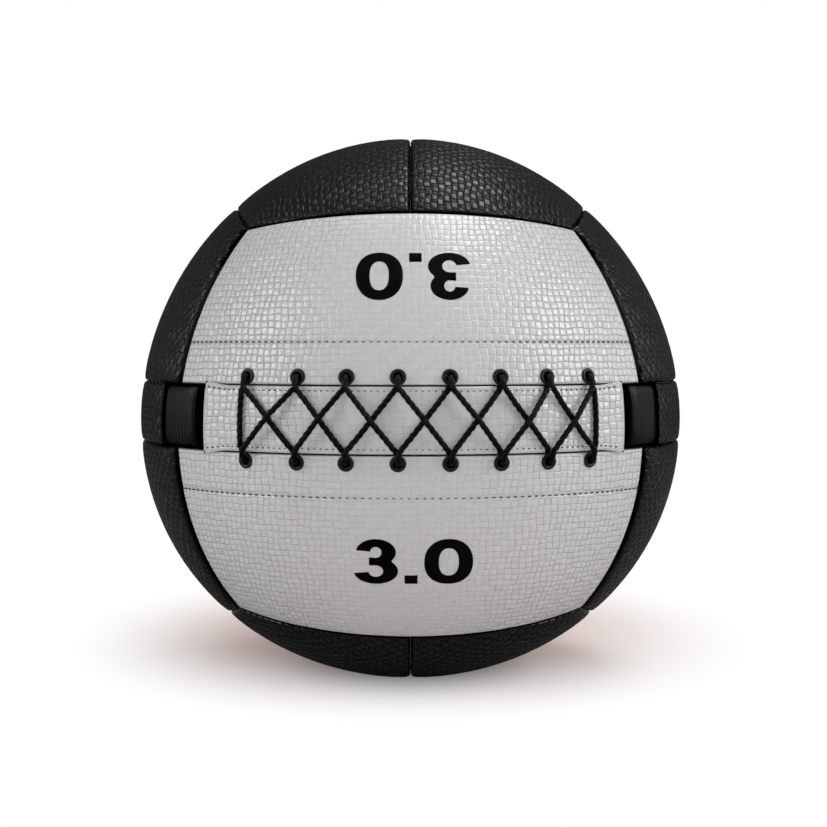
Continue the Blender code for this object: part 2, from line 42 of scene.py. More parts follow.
tau = 2 * math.pi
halves = (("upper", 1), ("lower", -1))
upright = np.eye(3)

ball = dict(
    radius=175 * mm,
    centre=np.array([0, 1.9, 174.5]) * mm,
    seamGap=0.3 * mm,       # between two sewn panels, deep in the seam
    openingHalf=19.2 * mm,  # half height of the laced opening
    panelDepth=3.0 * mm,
    settling=0.043,         # its own weight makes the lower half wider and the upper half narrower
)


# sums that work on arrays and on shader links alike

def fillSlot(slot, value):
    # link a wire to a node's input, or set a plain value on it
    if isinstance(value, Wire):
        value.tree.links.new(value.socket, slot)
    else:
        slot.default_value = value


class Wire:
    # a value on a shader link; every sum with it places a Math node
    def __init__(self, tree, socket):
        self.tree, self.socket = tree, socket

    def math(self, operation, *others):
        node = self.tree.nodes.new("ShaderNodeMath")
        node.operation = operation
        for slot, value in zip(node.inputs, (self,) + others):
            fillSlot(slot, value)
        return Wire(self.tree, node.outputs[0])

    def __add__(self, other):
        return self.math("ADD", other)

    def __mul__(self, other):
        return self.math("MULTIPLY", other)

    def __sub__(self, other):
        return self.math("SUBTRACT", other)

    def __rsub__(self, other):
        return self.math("MULTIPLY", -1.0).math("ADD", other)

    def __truediv__(self, other):
        return self.math("DIVIDE", other)

    def __pow__(self, other):
        return self.math("POWER", other)

    def __abs__(self):
        return self.math("ABSOLUTE")

    __radd__, __rmul__ = __add__, __mul__


def sineOf(x):
    return x.math("SINE") if isinstance(x, Wire) else np.sin(x)


def floorOf(x):
    return x.math("FLOOR") if isinstance(x, Wire) else np.floor(x)


def higherOf(a, b):
    return a.math("MAXIMUM", b) if isinstance(a, Wire) else np.maximum(a, b)


weave = dict(
    tapeWidth=4.4 * mm, tapeLength=4.0 * mm, wander=0.07, slip=0.16, dive=0.3, groove=0.85, sharpness=8.0,
    tilt=0.35, sunk=1.5, middle=0.75, faceFrom=0.1, faceTo=0.55,
)


def wovenHeight(p, q, brick):
    # Plain weave of flat tapes, p and q counted in tapes. Slow sines bend the rows, and each row and column
    # is slipped against the next. In a cell the upper tape is high in its middle and dives by a square
    # towards its two ends; a groove, a high power of the distance from the cell's middle, runs round it. A
    # tilt turns each cell its own way. Brick is a share by which the tapes that run up show longer and the
    # others lie lower.
    wander, slip = weave["wander"], weave["slip"]
    p, q = (
        p + wander * sineOf(0.43 * q + 1.9 * sineOf(0.17 * p)),
        q + wander * sineOf(0.37 * p + 1.7 * sineOf(0.21 * q)),
    )
    p = p + slip * sineOf(5.213 * floorOf(q) + 0.7 * p)
    i = floorOf(p)
    q = q + 0.5 * slip * sineOf(4.71 * i + 0.8 * q)
    q = q + brick * sineOf(math.pi * (q + i) + math.pi / 2)
    j = floorOf(q)
    x, y = p - i - 0.5, q - j - 0.5
    over = sineOf(math.pi * (i + j) + math.pi / 2)
    crown = 1 - weave["dive"] * 2 * ((x * x + y * y) + over * (y * y - x * x))
    crown = crown - brick * weave["sunk"] * (1 - over)
    edge = higherOf(abs(x) * (1.94 + 0.06 * over), abs(y) * (1.94 - 0.06 * over))
    uneven = 0.8 + 0.2 * sineOf(1.3 * i + 2.1 * j + 2.0 * x)
    tilt = weave["tilt"] * (x * sineOf(3.1 * i + 1.7 * j) + y * sineOf(1.3 * i - 2.9 * j))
    return (crown + tilt) * (1 - weave["groove"] * uneven * edge ** weave["sharpness"])


def fading(distance, reach):
    # 1 at the start, falling evenly to 0 over the reach
    return np.clip(1 - distance / reach, 0, 1)


def smoothStep(share):
    share = np.clip(share, 0, 1)
    return share * share * (3 - 2 * share)


def bell(distance, width):
    return np.exp(-(distance / width) ** 2)


def circle(steps):
    return np.linspace(0, tau, steps, endpoint=False)


def pairs(a, b):
    return np.stack(np.broadcast_arrays(a, b), -1).reshape(-1, 2)


# directions, seams and patches on the ball

def unit(v):
    return v / np.linalg.norm(v, axis=-1, keepdims=True)


def wayTo(azimuth, elevation):
    # direction from the ball's middle: azimuth from the laced face towards +X, elevation upwards
    azimuth, elevation = np.broadcast_arrays(np.asarray(azimuth, float), elevation)
    flat = np.cos(elevation)
    return np.stack([flat * np.sin(azimuth), -flat * np.cos(azimuth), np.sin(elevation)], -1)


def degreesTo(azimuth, elevation):
    return wayTo(math.radians(azimuth), math.radians(elevation))


def azimuthOf(ways):
    return np.arctan2(ways[..., 0], -ways[..., 1])


def riseOf(ways):
    return np.arcsin(np.clip(ways[..., 2], -1, 1)) * ball["radius"]


def skinNormal(ways):
    # the normal of the settled ball: the round one's, leaned by the change of width with height
    wide = 1 - ball["settling"] * ways[..., 2]
    lean = ball["settling"] * (ways[..., 0] ** 2 + ways[..., 1] ** 2)
    return unit(np.stack([ways[..., 0], ways[..., 1], ways[..., 2] * wide + lean], -1))


def onBall(ways, level):
    # the round skin drawn in or out sideways in step with its height, then moved along its normal
    wide = 1 - ball["settling"] * ways[..., 2]
    skin = np.stack([ways[..., 0] * wide, ways[..., 1] * wide, ways[..., 2]], -1) * ball["radius"]
    return ball["centre"] + skin + skinNormal(ways) * np.asarray(level, float)[..., None]


def frameAt(azimuth, height):
    # east, north and out at places on the skin, and their directions from the ball's middle
    ways = wayTo(azimuth, np.asarray(height) / ball["radius"])
    out = skinNormal(ways)
    azimuth = np.asarray(azimuth, float)
    east = np.stack([np.cos(azimuth), np.sin(azimuth), 0 * azimuth], -1)
    return east, np.cross(out, east), out, ways


# a seam is a flat cut through the ball: its normal, and its offset as a share of the radius
def seamThrough(*places):
    first, middle, last = [degreesTo(*place) for place in places]
    normal = unit(np.cross(middle - first, last - first))
    return normal, float(normal @ first)


def seamLevel(height):
    return np.array([0.0, 0.0, 1.0]), height / ball["radius"]


def seamMeridian(azimuth):
    return np.array([math.cos(azimuth), math.sin(azimuth), 0.0]), 0.0


def turnedSeam(seam, x=1, y=1):
    return seam[0] * np.array([x, y, 1.0]), seam[1]


def distanceTo(seam, ways):
    # length along the skin from a direction to the seam
    return np.abs(np.arccos(np.clip(ways @ seam[0], -1, 1)) - math.acos(seam[1])) * ball["radius"]


def movedIn(seam, inside, distance):
    sign = -1 if seam[0] @ inside > seam[1] else 1
    return seam[0], math.cos(math.acos(seam[1]) + sign * distance / ball["radius"])


def meeting(a, b, near):
    # the two directions that lie on both cuts are foot plus or minus step; the nearer one is kept
    dot = a[0] @ b[0]
    foot = ((a[1] - b[1] * dot) * a[0] + (b[1] - a[1] * dot) * b[0]) / (1 - dot * dot)
    step = unit(np.cross(a[0], b[0])) * math.sqrt(max(0.0, 1 - foot @ foot))
    return max((foot + step, foot - step), key=lambda way: way @ near)


def arcAlong(seam, start, end, shares):
    # turn the start about the cut's normal by a share of the angle between start and end
    hub = seam[0] * seam[1]
    a, b = start - hub, end - hub
    angle = np.arctan2(seam[0] @ np.cross(a, b), a @ b) * np.asarray(shares)[:, None]
    return hub + np.cos(angle) * a + np.sin(angle) * np.cross(seam[0], a)


def patchWays(edges, inside, inset, u, v):
    # blend of the four edge arcs: the two ruled blends less the corners' blend, brought to unit length
    left, right, bottom, top = [movedIn(edge, inside, inset) for edge in edges]
    a, b = meeting(left, bottom, inside), meeting(right, bottom, inside)
    c, d = meeting(left, top, inside), meeting(right, top, inside)
    low, high = arcAlong(bottom, a, b, u)[None], arcAlong(top, c, d, u)[None]
    west, east = arcAlong(left, a, c, v)[:, None], arcAlong(right, b, d, v)[:, None]
    s, t = u[None, :, None], v[:, None, None]
    corners = (1 - s) * (1 - t) * a + s * (1 - t) * b + (1 - s) * t * c + s * t * d
    return unit((1 - t) * low + t * high + (1 - s) * west + s * east - corners)


def padShares(length, size):
    # shares of the way across a pad: close together where the edge rolls over, even between
    roll, step = size["roll"], size["backStep"]
    edge = roll * (1 - np.cos(np.linspace(0, math.pi / 2, 7)[:-1])) / length
    even = max(step, round((length - 2 * roll) / size["spacing"]))
    count = math.ceil((even + 2 * len(edge)) / step) * step - 2 * len(edge)
    middle = np.linspace(roll / length, 1 - roll / length, count + 1)
    return np.concatenate([edge, middle, 1 - edge[::-1]])


def patchGrid(edges, inside, inset, size):
    # the directions of a patch in rows, its shares across and up, and its two lengths
    rough = patchWays(edges, inside, 0, np.linspace(0, 1, 9), np.linspace(0, 1, 9))
    width, height = [
        np.linalg.norm(np.diff(rows, axis=1), axis=-1).sum(1).max() * ball["radius"]
        for rows in (rough, rough.swapaxes(0, 1))
    ]
    u, v = padShares(width, size), padShares(height, size)
    return patchWays(edges, inside, inset, u, v), u, v, width, height


# meshes from arrays

def placed(name, data):
    made = bpy.data.objects.new(name, data)
    bpy.context.scene.collection.objects.link(made)
    return made


def outwards(points, faces):
    # the summed triple products of the faces' fans are six volumes; where they are below zero, all turn
    volume = 0.0
    for part in faces:
        corners = points[part] - points.mean(0)
        for k in range(1, part.shape[1] - 1):
            volume += np.sum(np.cross(corners[:, k], corners[:, k + 1]) * corners[:, 0])
    return faces if volume > 0 else [part[:, ::-1] for part in faces]


def newMesh(name, points, faces):
    # faces is a list of index arrays, with a column for each corner of a face
    mesh = bpy.data.meshes.new(name)
    faces = outwards(points, faces)
    loops = np.concatenate([part.ravel() for part in faces]).astype(np.int32)
    sizes = np.concatenate([np.full(len(part), part.shape[1]) for part in faces])
    mesh.vertices.add(len(points))
    mesh.vertices.foreach_set("co", points.astype(np.float32).ravel())
    mesh.loops.add(len(loops))
    mesh.loops.foreach_set("vertex_index", loops)
    mesh.polygons.add(len(sizes))
    mesh.polygons.foreach_set("loop_start", np.concatenate([[0], np.cumsum(sizes)[:-1]]).astype(np.int32))
    mesh.update(calc_edges=True)
    mesh.validate()
    return mesh, loops


def makePiece(name, points, faces, material, slot, replaced=None, uv=None, masks=(), fill=None):
    # uv gives one pair for each point, and each mask one value
    mesh, loops = newMesh(name, points, faces)
    mesh.polygons.foreach_set("use_smooth", np.ones(len(mesh.polygons), bool))
    if uv is not None:
        layer = mesh.uv_layers.new(name="cloth")
        layer.data.foreach_set("uv", uv.astype(np.float32)[loops].ravel())
    for maskName, values in dict(masks).items():
        attribute = mesh.attributes.new(maskName, "FLOAT", "POINT")
        attribute.data.foreach_set("value", values.astype(np.float32))
    mesh.materials.append(paints[material])
    piece = placed(name, mesh)
    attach(piece, "root")
    if replaced:
        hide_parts(replaced)
    return piece


def indexGrid(rows, columns, first=0):
    return first + np.arange(rows * columns).reshape(rows, columns)


def gridFaces(grid, aroundColumns=False, aroundRows=False):
    if aroundColumns:
        grid = np.concatenate([grid, grid[:, :1]], 1)
    if aroundRows:
        grid = np.concatenate([grid, grid[:1]], 0)
    return np.stack([grid[:-1, :-1], grid[:-1, 1:], grid[1:, 1:], grid[1:, :-1]], -1).reshape(-1, 4)


def ringOf(grid):
    return np.concatenate([grid[0, :-1], grid[:-1, -1], grid[-1, :0:-1], grid[:0:-1, 0]])


def padPiece(name, outer, inner, place, step, material, slot, replaced, masks=(), fill=None):
    # A fine outer grid closed by a coarse inner one, which keeps every step-th point of its grid. Between
    # their rims each fine edge makes a triangle with the nearest coarse point.
    front = indexGrid(*outer.shape[:2])
    kept = front[::step, ::step]
    back = indexGrid(*kept.shape, front.size)
    fine, coarse = ringOf(front), ringOf(back)
    m, k = np.arange(len(fine)), np.arange(len(coarse))
    nearest = coarse[((m + step // 2) // step) % len(coarse)]
    rim = np.stack([np.roll(fine, -1), fine, nearest], -1)
    joint = np.stack([fine[(k * step + step - step // 2) % len(fine)], coarse, np.roll(coarse, -1)], -1)
    both = np.concatenate([front.ravel(), kept.ravel()])
    points = np.concatenate([outer.reshape(-1, 3), inner.reshape(-1, 3)[kept.ravel()]])
    points[:, 2] = np.maximum(points[:, 2], 0.0)   # the floor presses a small flat
    masks = {key: mask.ravel()[both] for key, mask in dict(masks).items()}
    faces = [gridFaces(front), gridFaces(back)[:, ::-1], rim, joint]
    return makePiece(name, points, faces, material, slot, replaced, place.reshape(-1, 2)[both], masks, fill)


def cappedTubes(points):
    # tubes given as an array of tube, ring and side, each closed by a cap at both ends
    count, rings, sides = points.shape[:3]
    start = (np.arange(count) * rings * sides)[:, None, None]
    tube = (start + gridFaces(indexGrid(rings, sides), True)[None]).reshape(-1, 4)
    cap = np.arange(sides)[None, :]
    caps = np.concatenate([start[:, 0] + cap[:, ::-1], start[:, 0] + (rings - 1) * sides + cap])
    return points.reshape(-1, 3), [tube, caps]


def ringsAt(profile, steps, azimuth, height):
    # a profile of radius and level swept once round the line that stands on the skin
    east, north, out, ways = frameAt(azimuth, height)
    turn = circle(steps)
    radius, level = np.array(profile).T
    around = np.cos(turn)[:, None] * east + np.sin(turn)[:, None] * north
    return onBall(ways, 0.0) + out * level[:, None, None] + radius[:, None, None] * around[None]


def revolved(profile, steps, axes=upright, closed=False, settled=True, ripple=None):
    # A profile of radius and height turned about an axis through the ball's middle, closed on itself or
    # ending on the axis. Each row on the axis is one point, and its faces are triangles. The ripple moves
    # the points in or out by a formula of turn and height.
    radius, height = np.array(profile).T
    turn = circle(steps)[None, :]
    around = np.cos(turn)[..., None] * axes[0] + np.sin(turn)[..., None] * axes[1]
    points = radius[:, None, None] * around + height[:, None, None] * axes[2]
    if ripple:
        points = points + ripple(turn, radius[:, None], height[:, None])[..., None] * unit(points)
    if settled:
        points[..., :2] *= 1 - ball["settling"] * unit(points)[..., 2:]
    grid = indexGrid(len(radius), steps)
    onAxis = radius < 0.001 * mm
    grid[onAxis] = grid[onAxis, :1]
    used, number = np.unique(grid, return_inverse=True)
    quads = gridFaces(number.reshape(grid.shape), True, closed)
    top, bottom = quads[:, 0] == quads[:, 1], quads[:, 2] == quads[:, 3]
    faces = [quads[~top & ~bottom], quads[top & ~bottom][:, [0, 2, 3]], quads[bottom & ~top][:, :3]]
    lengths = np.hypot(np.diff(radius), np.diff(height))
    along = height if closed else np.concatenate([[0], np.cumsum(lengths)])
    uv = pairs(turn * radius.max(), along[:, None])[used]
    return ball["centre"] + points.reshape(-1, 3)[used], faces, uv


def revolvedPiece(name, profile, steps, material, slot, replaced, fill=None, **shape):
    points, faces, uv = revolved(profile, steps, **shape)
    return makePiece(name, points, faces, material, slot, replaced, uv, fill=fill)


def finished(made):
    # a new mesh of the object with its modifiers applied
    return bpy.data.meshes.new_from_object(made.evaluated_get(bpy.context.evaluated_depsgraph_get()))


def drilled(pieces, points, faces):
    # cut a closed shape out of each piece for good
    drill = placed("drill", newMesh("drill", points, faces)[0])
    drill.data.shade_flat()
    for piece in pieces:
        cut = piece.modifiers.new("holes", "BOOLEAN")
        cut.operation, cut.solver, cut.object = "DIFFERENCE", "EXACT", drill
        done = finished(piece)
        piece.modifiers.remove(cut)
        piece.data = done
    bpy.data.objects.remove(drill)


def drillsThrough(places, radius):
    # straight drills through the skin
    ends = [(radius, -lacing["drillReach"]), (radius, lacing["drillReach"])]
    return cappedTubes(np.stack([ringsAt(ends, lacing["drillSides"], *place) for place in places]))


# materials

def feed(node, **values):
    # fill the inputs of those names, where _ stands for a space
    for label, value in values.items():
        fillSlot(node.inputs[label.replace("_", " ")], value)


def newNode(tree, kind, **settings):
    node = tree.nodes.new("ShaderNode" + kind)
    for key, value in settings.items():
        setattr(node, key, value)
    return node


def clothOf(tree):
    return Wire(tree, newNode(tree, "UVMap", uv_map="cloth").outputs["UV"])


def placeOf(tree):
    return Wire(tree, newNode(tree, "TexCoord").outputs["Object"])


def maskOf(tree, name):
    return Wire(tree, newNode(tree, "Attribute", attribute_name=name).outputs["Fac"])


def splitVector(vector):
    node = newNode(vector.tree, "SeparateXYZ")
    feed(node, Vector=vector)
    return [Wire(vector.tree, socket) for socket in node.outputs]


def noiseOf(vector, scale, detail=3.0, roughness=0.55):
    node = newNode(vector.tree, "TexNoise")
    feed(node, Vector=vector, Scale=scale, Detail=detail, Roughness=roughness)
    return Wire(vector.tree, node.outputs["Fac"])


def smoothBetween(wire, low, high):
    node = newNode(wire.tree, "MapRange", interpolation_type="SMOOTHSTEP")
    feed(node, Value=wire, From_Min=low, From_Max=high)
    return Wire(wire.tree, node.outputs["Result"])


def mixColours(factor, a, b):
    node = newNode(factor.tree, "Mix", data_type="RGBA")
    fillSlot(node.inputs[0], factor)
    for slot, value in ((node.inputs[6], a), (node.inputs[7], b)):
        fillSlot(slot, value if isinstance(value, Wire) else (*value, 1.0))
    return Wire(factor.tree, node.outputs[2])


def newGroup(name, outputs, **inputs):
    # a shader group, its inputs as wires, and its output node
    group = bpy.data.node_groups.new(name, "ShaderNodeTree")
    for label, value in inputs.items():
        kind = "NodeSocketVector" if isinstance(value, tuple) else "NodeSocketFloat"
        group.interface.new_socket(label, in_out="INPUT", socket_type=kind).default_value = value
    for label in outputs:
        group.interface.new_socket(label, in_out="OUTPUT", socket_type="NodeSocketFloat")
    source, sink = group.nodes.new("NodeGroupInput"), group.nodes.new("NodeGroupOutput")
    return group, [Wire(group, source.outputs[label]) for label in inputs], sink


def placeGroup(tree, group, **values):
    node = newNode(tree, "Group", node_tree=group)
    feed(node, **values)
    return [Wire(tree, socket) for socket in node.outputs]


def buildWovenGroup():
    group, (cloth, brick), sink = newGroup(
        "wovenVinyl", ("Height", "Face", "Cell Tone"), Cloth=(0.0, 0.0, 0.0), Brick=0.0
    )
    x, y, _ = splitVector(cloth)
    p, q = x / weave["tapeWidth"], y / weave["tapeLength"]
    height = wovenHeight(p, q, brick)
    face = smoothBetween(height, weave["faceFrom"], weave["faceTo"])
    feed(sink, Height=height, Face=face, Cell_Tone=sineOf(1.7 * floorOf(p) + 4.3 * floorOf(q)) * 0.5 + 0.5)
    return group


grime = dict(low=0.3, high=0.7, grainScale=60, grainDetail=2.0)


def buildGrimeGroup():
    # soft blotches and a fine grain, both from 0 to 1, on the object's own coordinates
    group, (place, size), sink = newGroup("grime", ("Blotch", "Grain"), Place=(0.0, 0.0, 0.0), Size=30.0)
    blotch = smoothBetween(noiseOf(place, size), grime["low"], grime["high"])
    feed(sink, Blotch=blotch, Grain=noiseOf(place, size * grime["grainScale"], grime["grainDetail"]))
    return group


def buildYarnGroup():
    # fine yarns: ridges across and along a cloth given in metres, from the higher of two sines
    group, (cloth, across, along, slant), sink = newGroup(
        "yarn", ("Height",), Cloth=(0.0, 0.0, 0.0), Across=0.5 * mm, Along=0.5 * mm, Slant=0.0
    )
    x, y, _ = splitVector(cloth)
    ridges = sineOf((x + y * slant) / across * tau) * 0.5, sineOf(y / along * tau) * 0.5
    feed(sink, Height=higherOf(*ridges) + 0.5)
    return group


wovenGroup, grimeGroup, yarnGroup = buildWovenGroup(), buildGrimeGroup(), buildYarnGroup()


def newMaterial(name, **plain):
    made = bpy.data.materials.new(name)
    made.use_nodes = True
    shader = made.node_tree.nodes["Principled BSDF"]
    feed(shader, **plain)
    return made, made.node_tree, shader


def grimeOf(tree, size):
    return placeGroup(tree, grimeGroup, Place=placeOf(tree), Size=size)


def bumpFrom(shader, height, distance):
    node = newNode(height.tree, "Bump")
    feed(node, Distance=distance, Strength=1.0, Height=height)
    feed(shader, Normal=Wire(height.tree, node.outputs["Normal"]))


plainVinyl = dict(blotchSize=22.0, rough=0.22, blotchRough=0.06, toneRough=0.05, grain=0.05)
# the groove colour, darker low in the weave, is dirt in the grooves and painted shade there; the seam colour
# is the near black of the painted shade deep in a seam
vinyl = dict(
    greyVinyl=dict(
        face=(0.63, 0.63, 0.64), faceOther=(0.60, 0.60, 0.61), groove=(0.53, 0.53, 0.535),
        seam=(0.004, 0.004, 0.004), blotch=0.05, grooveRough=0.25, gloss=0.8, plainGloss=0.04,
        bump=0.74 * mm, brick=0.0,
    ),
    blackVinyl=dict(
        face=(0.012, 0.012, 0.013), faceOther=(0.008, 0.008, 0.009), groove=(0.002, 0.002, 0.002),
        seam=(0.0003, 0.0003, 0.0003), blotch=0.15, grooveRough=0.35, gloss=0.3, plainGloss=0.1,
        bump=0.85 * mm, brick=0.23,
    ),
)


def vinylMaterial(name, look):
    made, tree, shader = newMaterial(name, Specular_IOR_Level=look["gloss"])
    height, face, tone = placeGroup(tree, wovenGroup, Cloth=clothOf(tree), Brick=look["brick"])
    blotch, grain = grimeOf(tree, look["blotchSize"])
    plain = maskOf(tree, "plain")     # 1 where the emboss is pressed flat, by an edge or by stitches
    paintedShade = maskOf(tree, "paintedShade")   # 1 deep in a seam, where the shade is painted
    face = higherOf(face, plain)
    colour = mixColours(tone, look["face"], look["faceOther"])
    colour = mixColours(blotch * look["blotch"], colour, look["groove"])
    # darker low in the weave, for dirt and painted shade in the grooves; deep in a seam the colour goes to the
    # near black of the painted shade
    colour = mixColours(paintedShade, mixColours(face, look["groove"], colour), look["seam"])
    rough = look["rough"] + blotch * look["blotchRough"] + (1 - face) * look["grooveRough"]
    rough = rough - plain * look["plainGloss"] + tone * look["toneRough"]
    # painted seam shade: as a black metal it mirrors next to nothing, so the seam stays dark
    feed(shader, Base_Color=colour, Metallic=paintedShade, Roughness=rough)
    bumpFrom(shader, height * (1 - plain) + grain * look["grain"], look["bump"])
    return made


# widths of the yarns across and along the cloth, two shades of its tint, and its feel
plainCloth = dict(
    tint=(1.0, 1.0, 1.0), slant=0.0, rough=0.85, bump=0.08 * mm, sheen=0.2, gloss=0.3, blotch=0.15,
    blotchSize=40.0, grain=0.3,
)
fabrics = dict(
    laceBlack=dict(dark=0.0003, light=0.002, across=0.5 * mm, along=0.6 * mm, slant=0.6, rough=0.36,
                   bump=0.1 * mm, sheen=0.0, gloss=0.16),
    webbingBlack=dict(dark=0.0003, light=0.002, across=0.9 * mm, along=0.8 * mm, slant=0.7, rough=0.2,
                      bump=0.05 * mm, sheen=0.0, gloss=0.24),
    facingGrey=dict(dark=0.12, light=0.25, across=0.6 * mm, along=0.6 * mm, rough=0.8),
    threadDark=dict(dark=0.003, light=0.016, across=0.25 * mm, along=0.4 * mm, slant=0.8, rough=0.6,
                    bump=0.04 * mm, sheen=0.0, gloss=0.25),
    liningCloth=dict(dark=0.42, light=0.58, tint=(1.0, 0.96, 0.86), across=0.5 * mm, along=0.5 * mm),
    bagCanvas=dict(dark=0.16, light=0.32, tint=(1.0, 0.88, 0.64), across=0.9 * mm, along=0.9 * mm,
                   bump=0.16 * mm, sheen=0.1),
    tieCotton=dict(dark=0.5, light=0.72, tint=(1.0, 0.94, 0.8), across=0.6 * mm, along=0.7 * mm, slant=0.6,
                   rough=0.8, bump=0.1 * mm),
)


def clothMaterial(name, look):
    made, tree, shader = newMaterial(
        name, Sheen_Weight=look["sheen"], Roughness=look["rough"], Specular_IOR_Level=look["gloss"]
    )
    widths = dict(Across=look["across"], Along=look["along"], Slant=look["slant"])
    yarn, = placeGroup(tree, yarnGroup, Cloth=clothOf(tree), **widths)
    blotch, grain = grimeOf(tree, look["blotchSize"])
    dark, light = [tuple(look[shade] * c for c in look["tint"]) for shade in ("dark", "light")]
    feed(shader, Base_Color=mixColours(blotch * look["blotch"], mixColours(yarn, dark, light), dark))
    bumpFrom(shader, yarn + grain * look["grain"], look["bump"])
    return made


plainTangle = dict(rough=0.95, gloss=0.2, sheen=0.2, detail=6.0, noiseRough=0.75, low=0.35, high=0.62)
tangles = dict(
    foamCream=dict(pale=(0.82, 0.80, 0.71), deep=(0.55, 0.52, 0.44), size=700.0, bump=0.4 * mm),
    fibreWhite=dict(pale=(0.78, 0.77, 0.75), deep=(0.42, 0.41, 0.39), size=160.0, bump=1.5 * mm),
)


def tangledMaterial(name, look):
    # packed fibre or open foam: a fine tangle of noise, paler on its ridges
    made, tree, shader = newMaterial(
        name, Sheen_Weight=look["sheen"], Roughness=look["rough"], Specular_IOR_Level=look["gloss"]
    )
    tangle = noiseOf(placeOf(tree), look["size"], look["detail"], look["noiseRough"])
    ridge = smoothBetween(tangle, look["low"], look["high"])
    feed(shader, Base_Color=mixColours(ridge, look["deep"], look["pale"]))
    bumpFrom(shader, tangle, look["bump"])
    return made


plainLacquer = dict(metal=0.3, gloss=0.45, blotchSize=300.0, grainRough=0.12, bump=0.02 * mm)
lacquers = dict(
    eyeletBlack=dict(dark=(0.014, 0.014, 0.015), light=(0.021, 0.021, 0.0225), rough=0.36),
    washerBlack=dict(dark=(0.02, 0.02, 0.021), light=(0.03, 0.03, 0.0315), rough=0.42),
    printBlack=dict(dark=(0.001, 0.001, 0.001), light=(0.003, 0.003, 0.003), metal=0.0, gloss=0.05,
                    blotchSize=60.0, rough=0.5, grainRough=0.1, bump=0.01 * mm),
)


def lacquerMaterial(name, look):
    made, tree, shader = newMaterial(name, Metallic=look["metal"], Specular_IOR_Level=look["gloss"])
    blotch, grain = grimeOf(tree, look["blotchSize"])
    feed(shader, Base_Color=mixColours(blotch, look["dark"], look["light"]),
         Roughness=look["rough"] + grain * look["grainRough"])
    bumpFrom(shader, grain, look["bump"])
    return made


paints = {}
for build, plainLook, looks in (
    (vinylMaterial, plainVinyl, vinyl), (clothMaterial, plainCloth, fabrics),
    (tangledMaterial, plainTangle, tangles), (lacquerMaterial, plainLacquer, lacquers),
):
    for name, look in looks.items():
        paints[name] = build(name, {**plainLook, **look})
print("materials made")


# the sewn cover

cover = dict(
    topCorner=(48.8, 39.7), bottomCorner=(53.4, -43.3), faceTop=42.8, faceBottom=-48.4, faceSide=52.3,
    sideTop=48.2, sideBottom=-49.0, bandEnd=59.2,
    roll=2.0 * mm, rollDepth=1.9 * mm, hemRoll=0.6 * mm, hemRollDepth=1.0 * mm,
    shoulder=0.9 * mm, shoulderWidth=4.0 * mm,
    deepShare=3.8, deepShadeShare=5.6, deepWidth=9.5 * mm, deepDrop=2.8 * mm, deepPower=1.3,
    relief=0.16 * mm, plainEdge=0.9 * mm, plainHem=1.2 * mm,
    pressed=0.66, pressedFrom=math.radians(5), pressedRun=math.radians(28),    # middle of the laced face
    paintedShadeWidth=dict(grey=0.7 * mm, black=1.25 * mm),    # width of the painted shade deep in a seam, on the two cloths
    paintedShadeRise=2.2, paintedShadeHem=0.45 * mm,
    spacing=0.95 * mm, backStep=8, fill=0.7,
    stitchHeight=43.8 * mm, stitchDent=0.3 * mm, stitchDentWidth=0.9 * mm, stitchPlain=0.8,
    stitchPlainWidth=1.1 * mm,
)

(topAside, topRise), (lowAside, lowRise) = cover["topCorner"], cover["bottomCorner"]
faceTop = seamThrough((-topAside, topRise), (0, cover["faceTop"]), (topAside, topRise))
faceBottom = seamThrough((-lowAside, lowRise), (0, cover["faceBottom"]), (lowAside, lowRise))
faceRight = seamThrough((topAside, topRise), (cover["faceSide"], 0), (lowAside, lowRise))
sideTop = seamThrough((topAside, topRise), (90, cover["sideTop"]), (180 - topAside, topRise))
sideBottom = seamThrough((lowAside, lowRise), (90, cover["sideBottom"]), (180 - lowAside, lowRise))
middleSeam = np.array([1.0, 0.0, 0.0]), 0.0
hemTop, hemBottom = seamLevel(ball["openingHalf"]), seamLevel(-ball["openingHalf"])
faceLeft = turnedSeam(faceRight, x=-1)
backTop, backBottom = turnedSeam(faceTop, y=-1), turnedSeam(faceBottom, y=-1)
backRight, backLeft = turnedSeam(faceRight, y=-1), turnedSeam(faceLeft, y=-1)
bandFront = seamMeridian(math.radians(cover["bandEnd"]))

# how each panel's cloth lies: towards its columns, outwards, along its rows, and how its columns close up
cloths = dict(
    front=((1, 0, 0), (0, -1, 0), (0, 0, 1), 0.5),
    back=((-1, 0, 0), (0, 1, 0), (0, 0, 1), 0.5),
    right=((0, 1, 0), (1, 0, 0), (0, 0, 1), 1.0),
    left=((0, -1, 0), (-1, 0, 0), (0, 0, 1), 1.0),
    top=((1, 0, 0), (0, 0, 1), (0, 1, 0), 0.8),
    bottom=((1, 0, 0), (0, 0, -1), (0, -1, 0), 0.8),
)


def clothPlace(ways, cloth, start):
    # metres along the cloth: turn about its rows' axis, drawn in by a power of the cosine, and rise
    across, out, up, closing = cloth
    turn = np.arctan2(ways @ np.array(across, float), ways @ np.array(out, float))
    rise = np.arcsin(np.clip(ways @ np.array(up, float), -1, 1))
    p = ball["radius"] * turn * np.maximum(np.cos(rise), 0.05) ** closing
    return np.stack([p + start, ball["radius"] * rise + start * 0.6], -1)


def embossed(place, tone, plain):
    # the weave's height about its middle, pressed flat where plain is 1
    p, q = place[..., 0] / weave["tapeWidth"], place[..., 1] / weave["tapeLength"]
    return (wovenHeight(p, q, vinyl[tone + "Vinyl"]["brick"]) - weave["middle"]) * (1 - plain)


def pressedFlat(ways):
    # the press that prints the numbers flattens the emboss there: a smooth step of the azimuth
    aside = (np.abs(azimuthOf(ways)) - cover["pressedFrom"]) / cover["pressedRun"]
    return cover["pressed"] * (1 - smoothStep(aside))


def rollDrop(distance, width, depth):
    # quarter of an ellipse: no drop beyond the width, the whole depth at the seam
    return depth * (1 - np.sqrt(1 - fading(distance, width) ** 2))


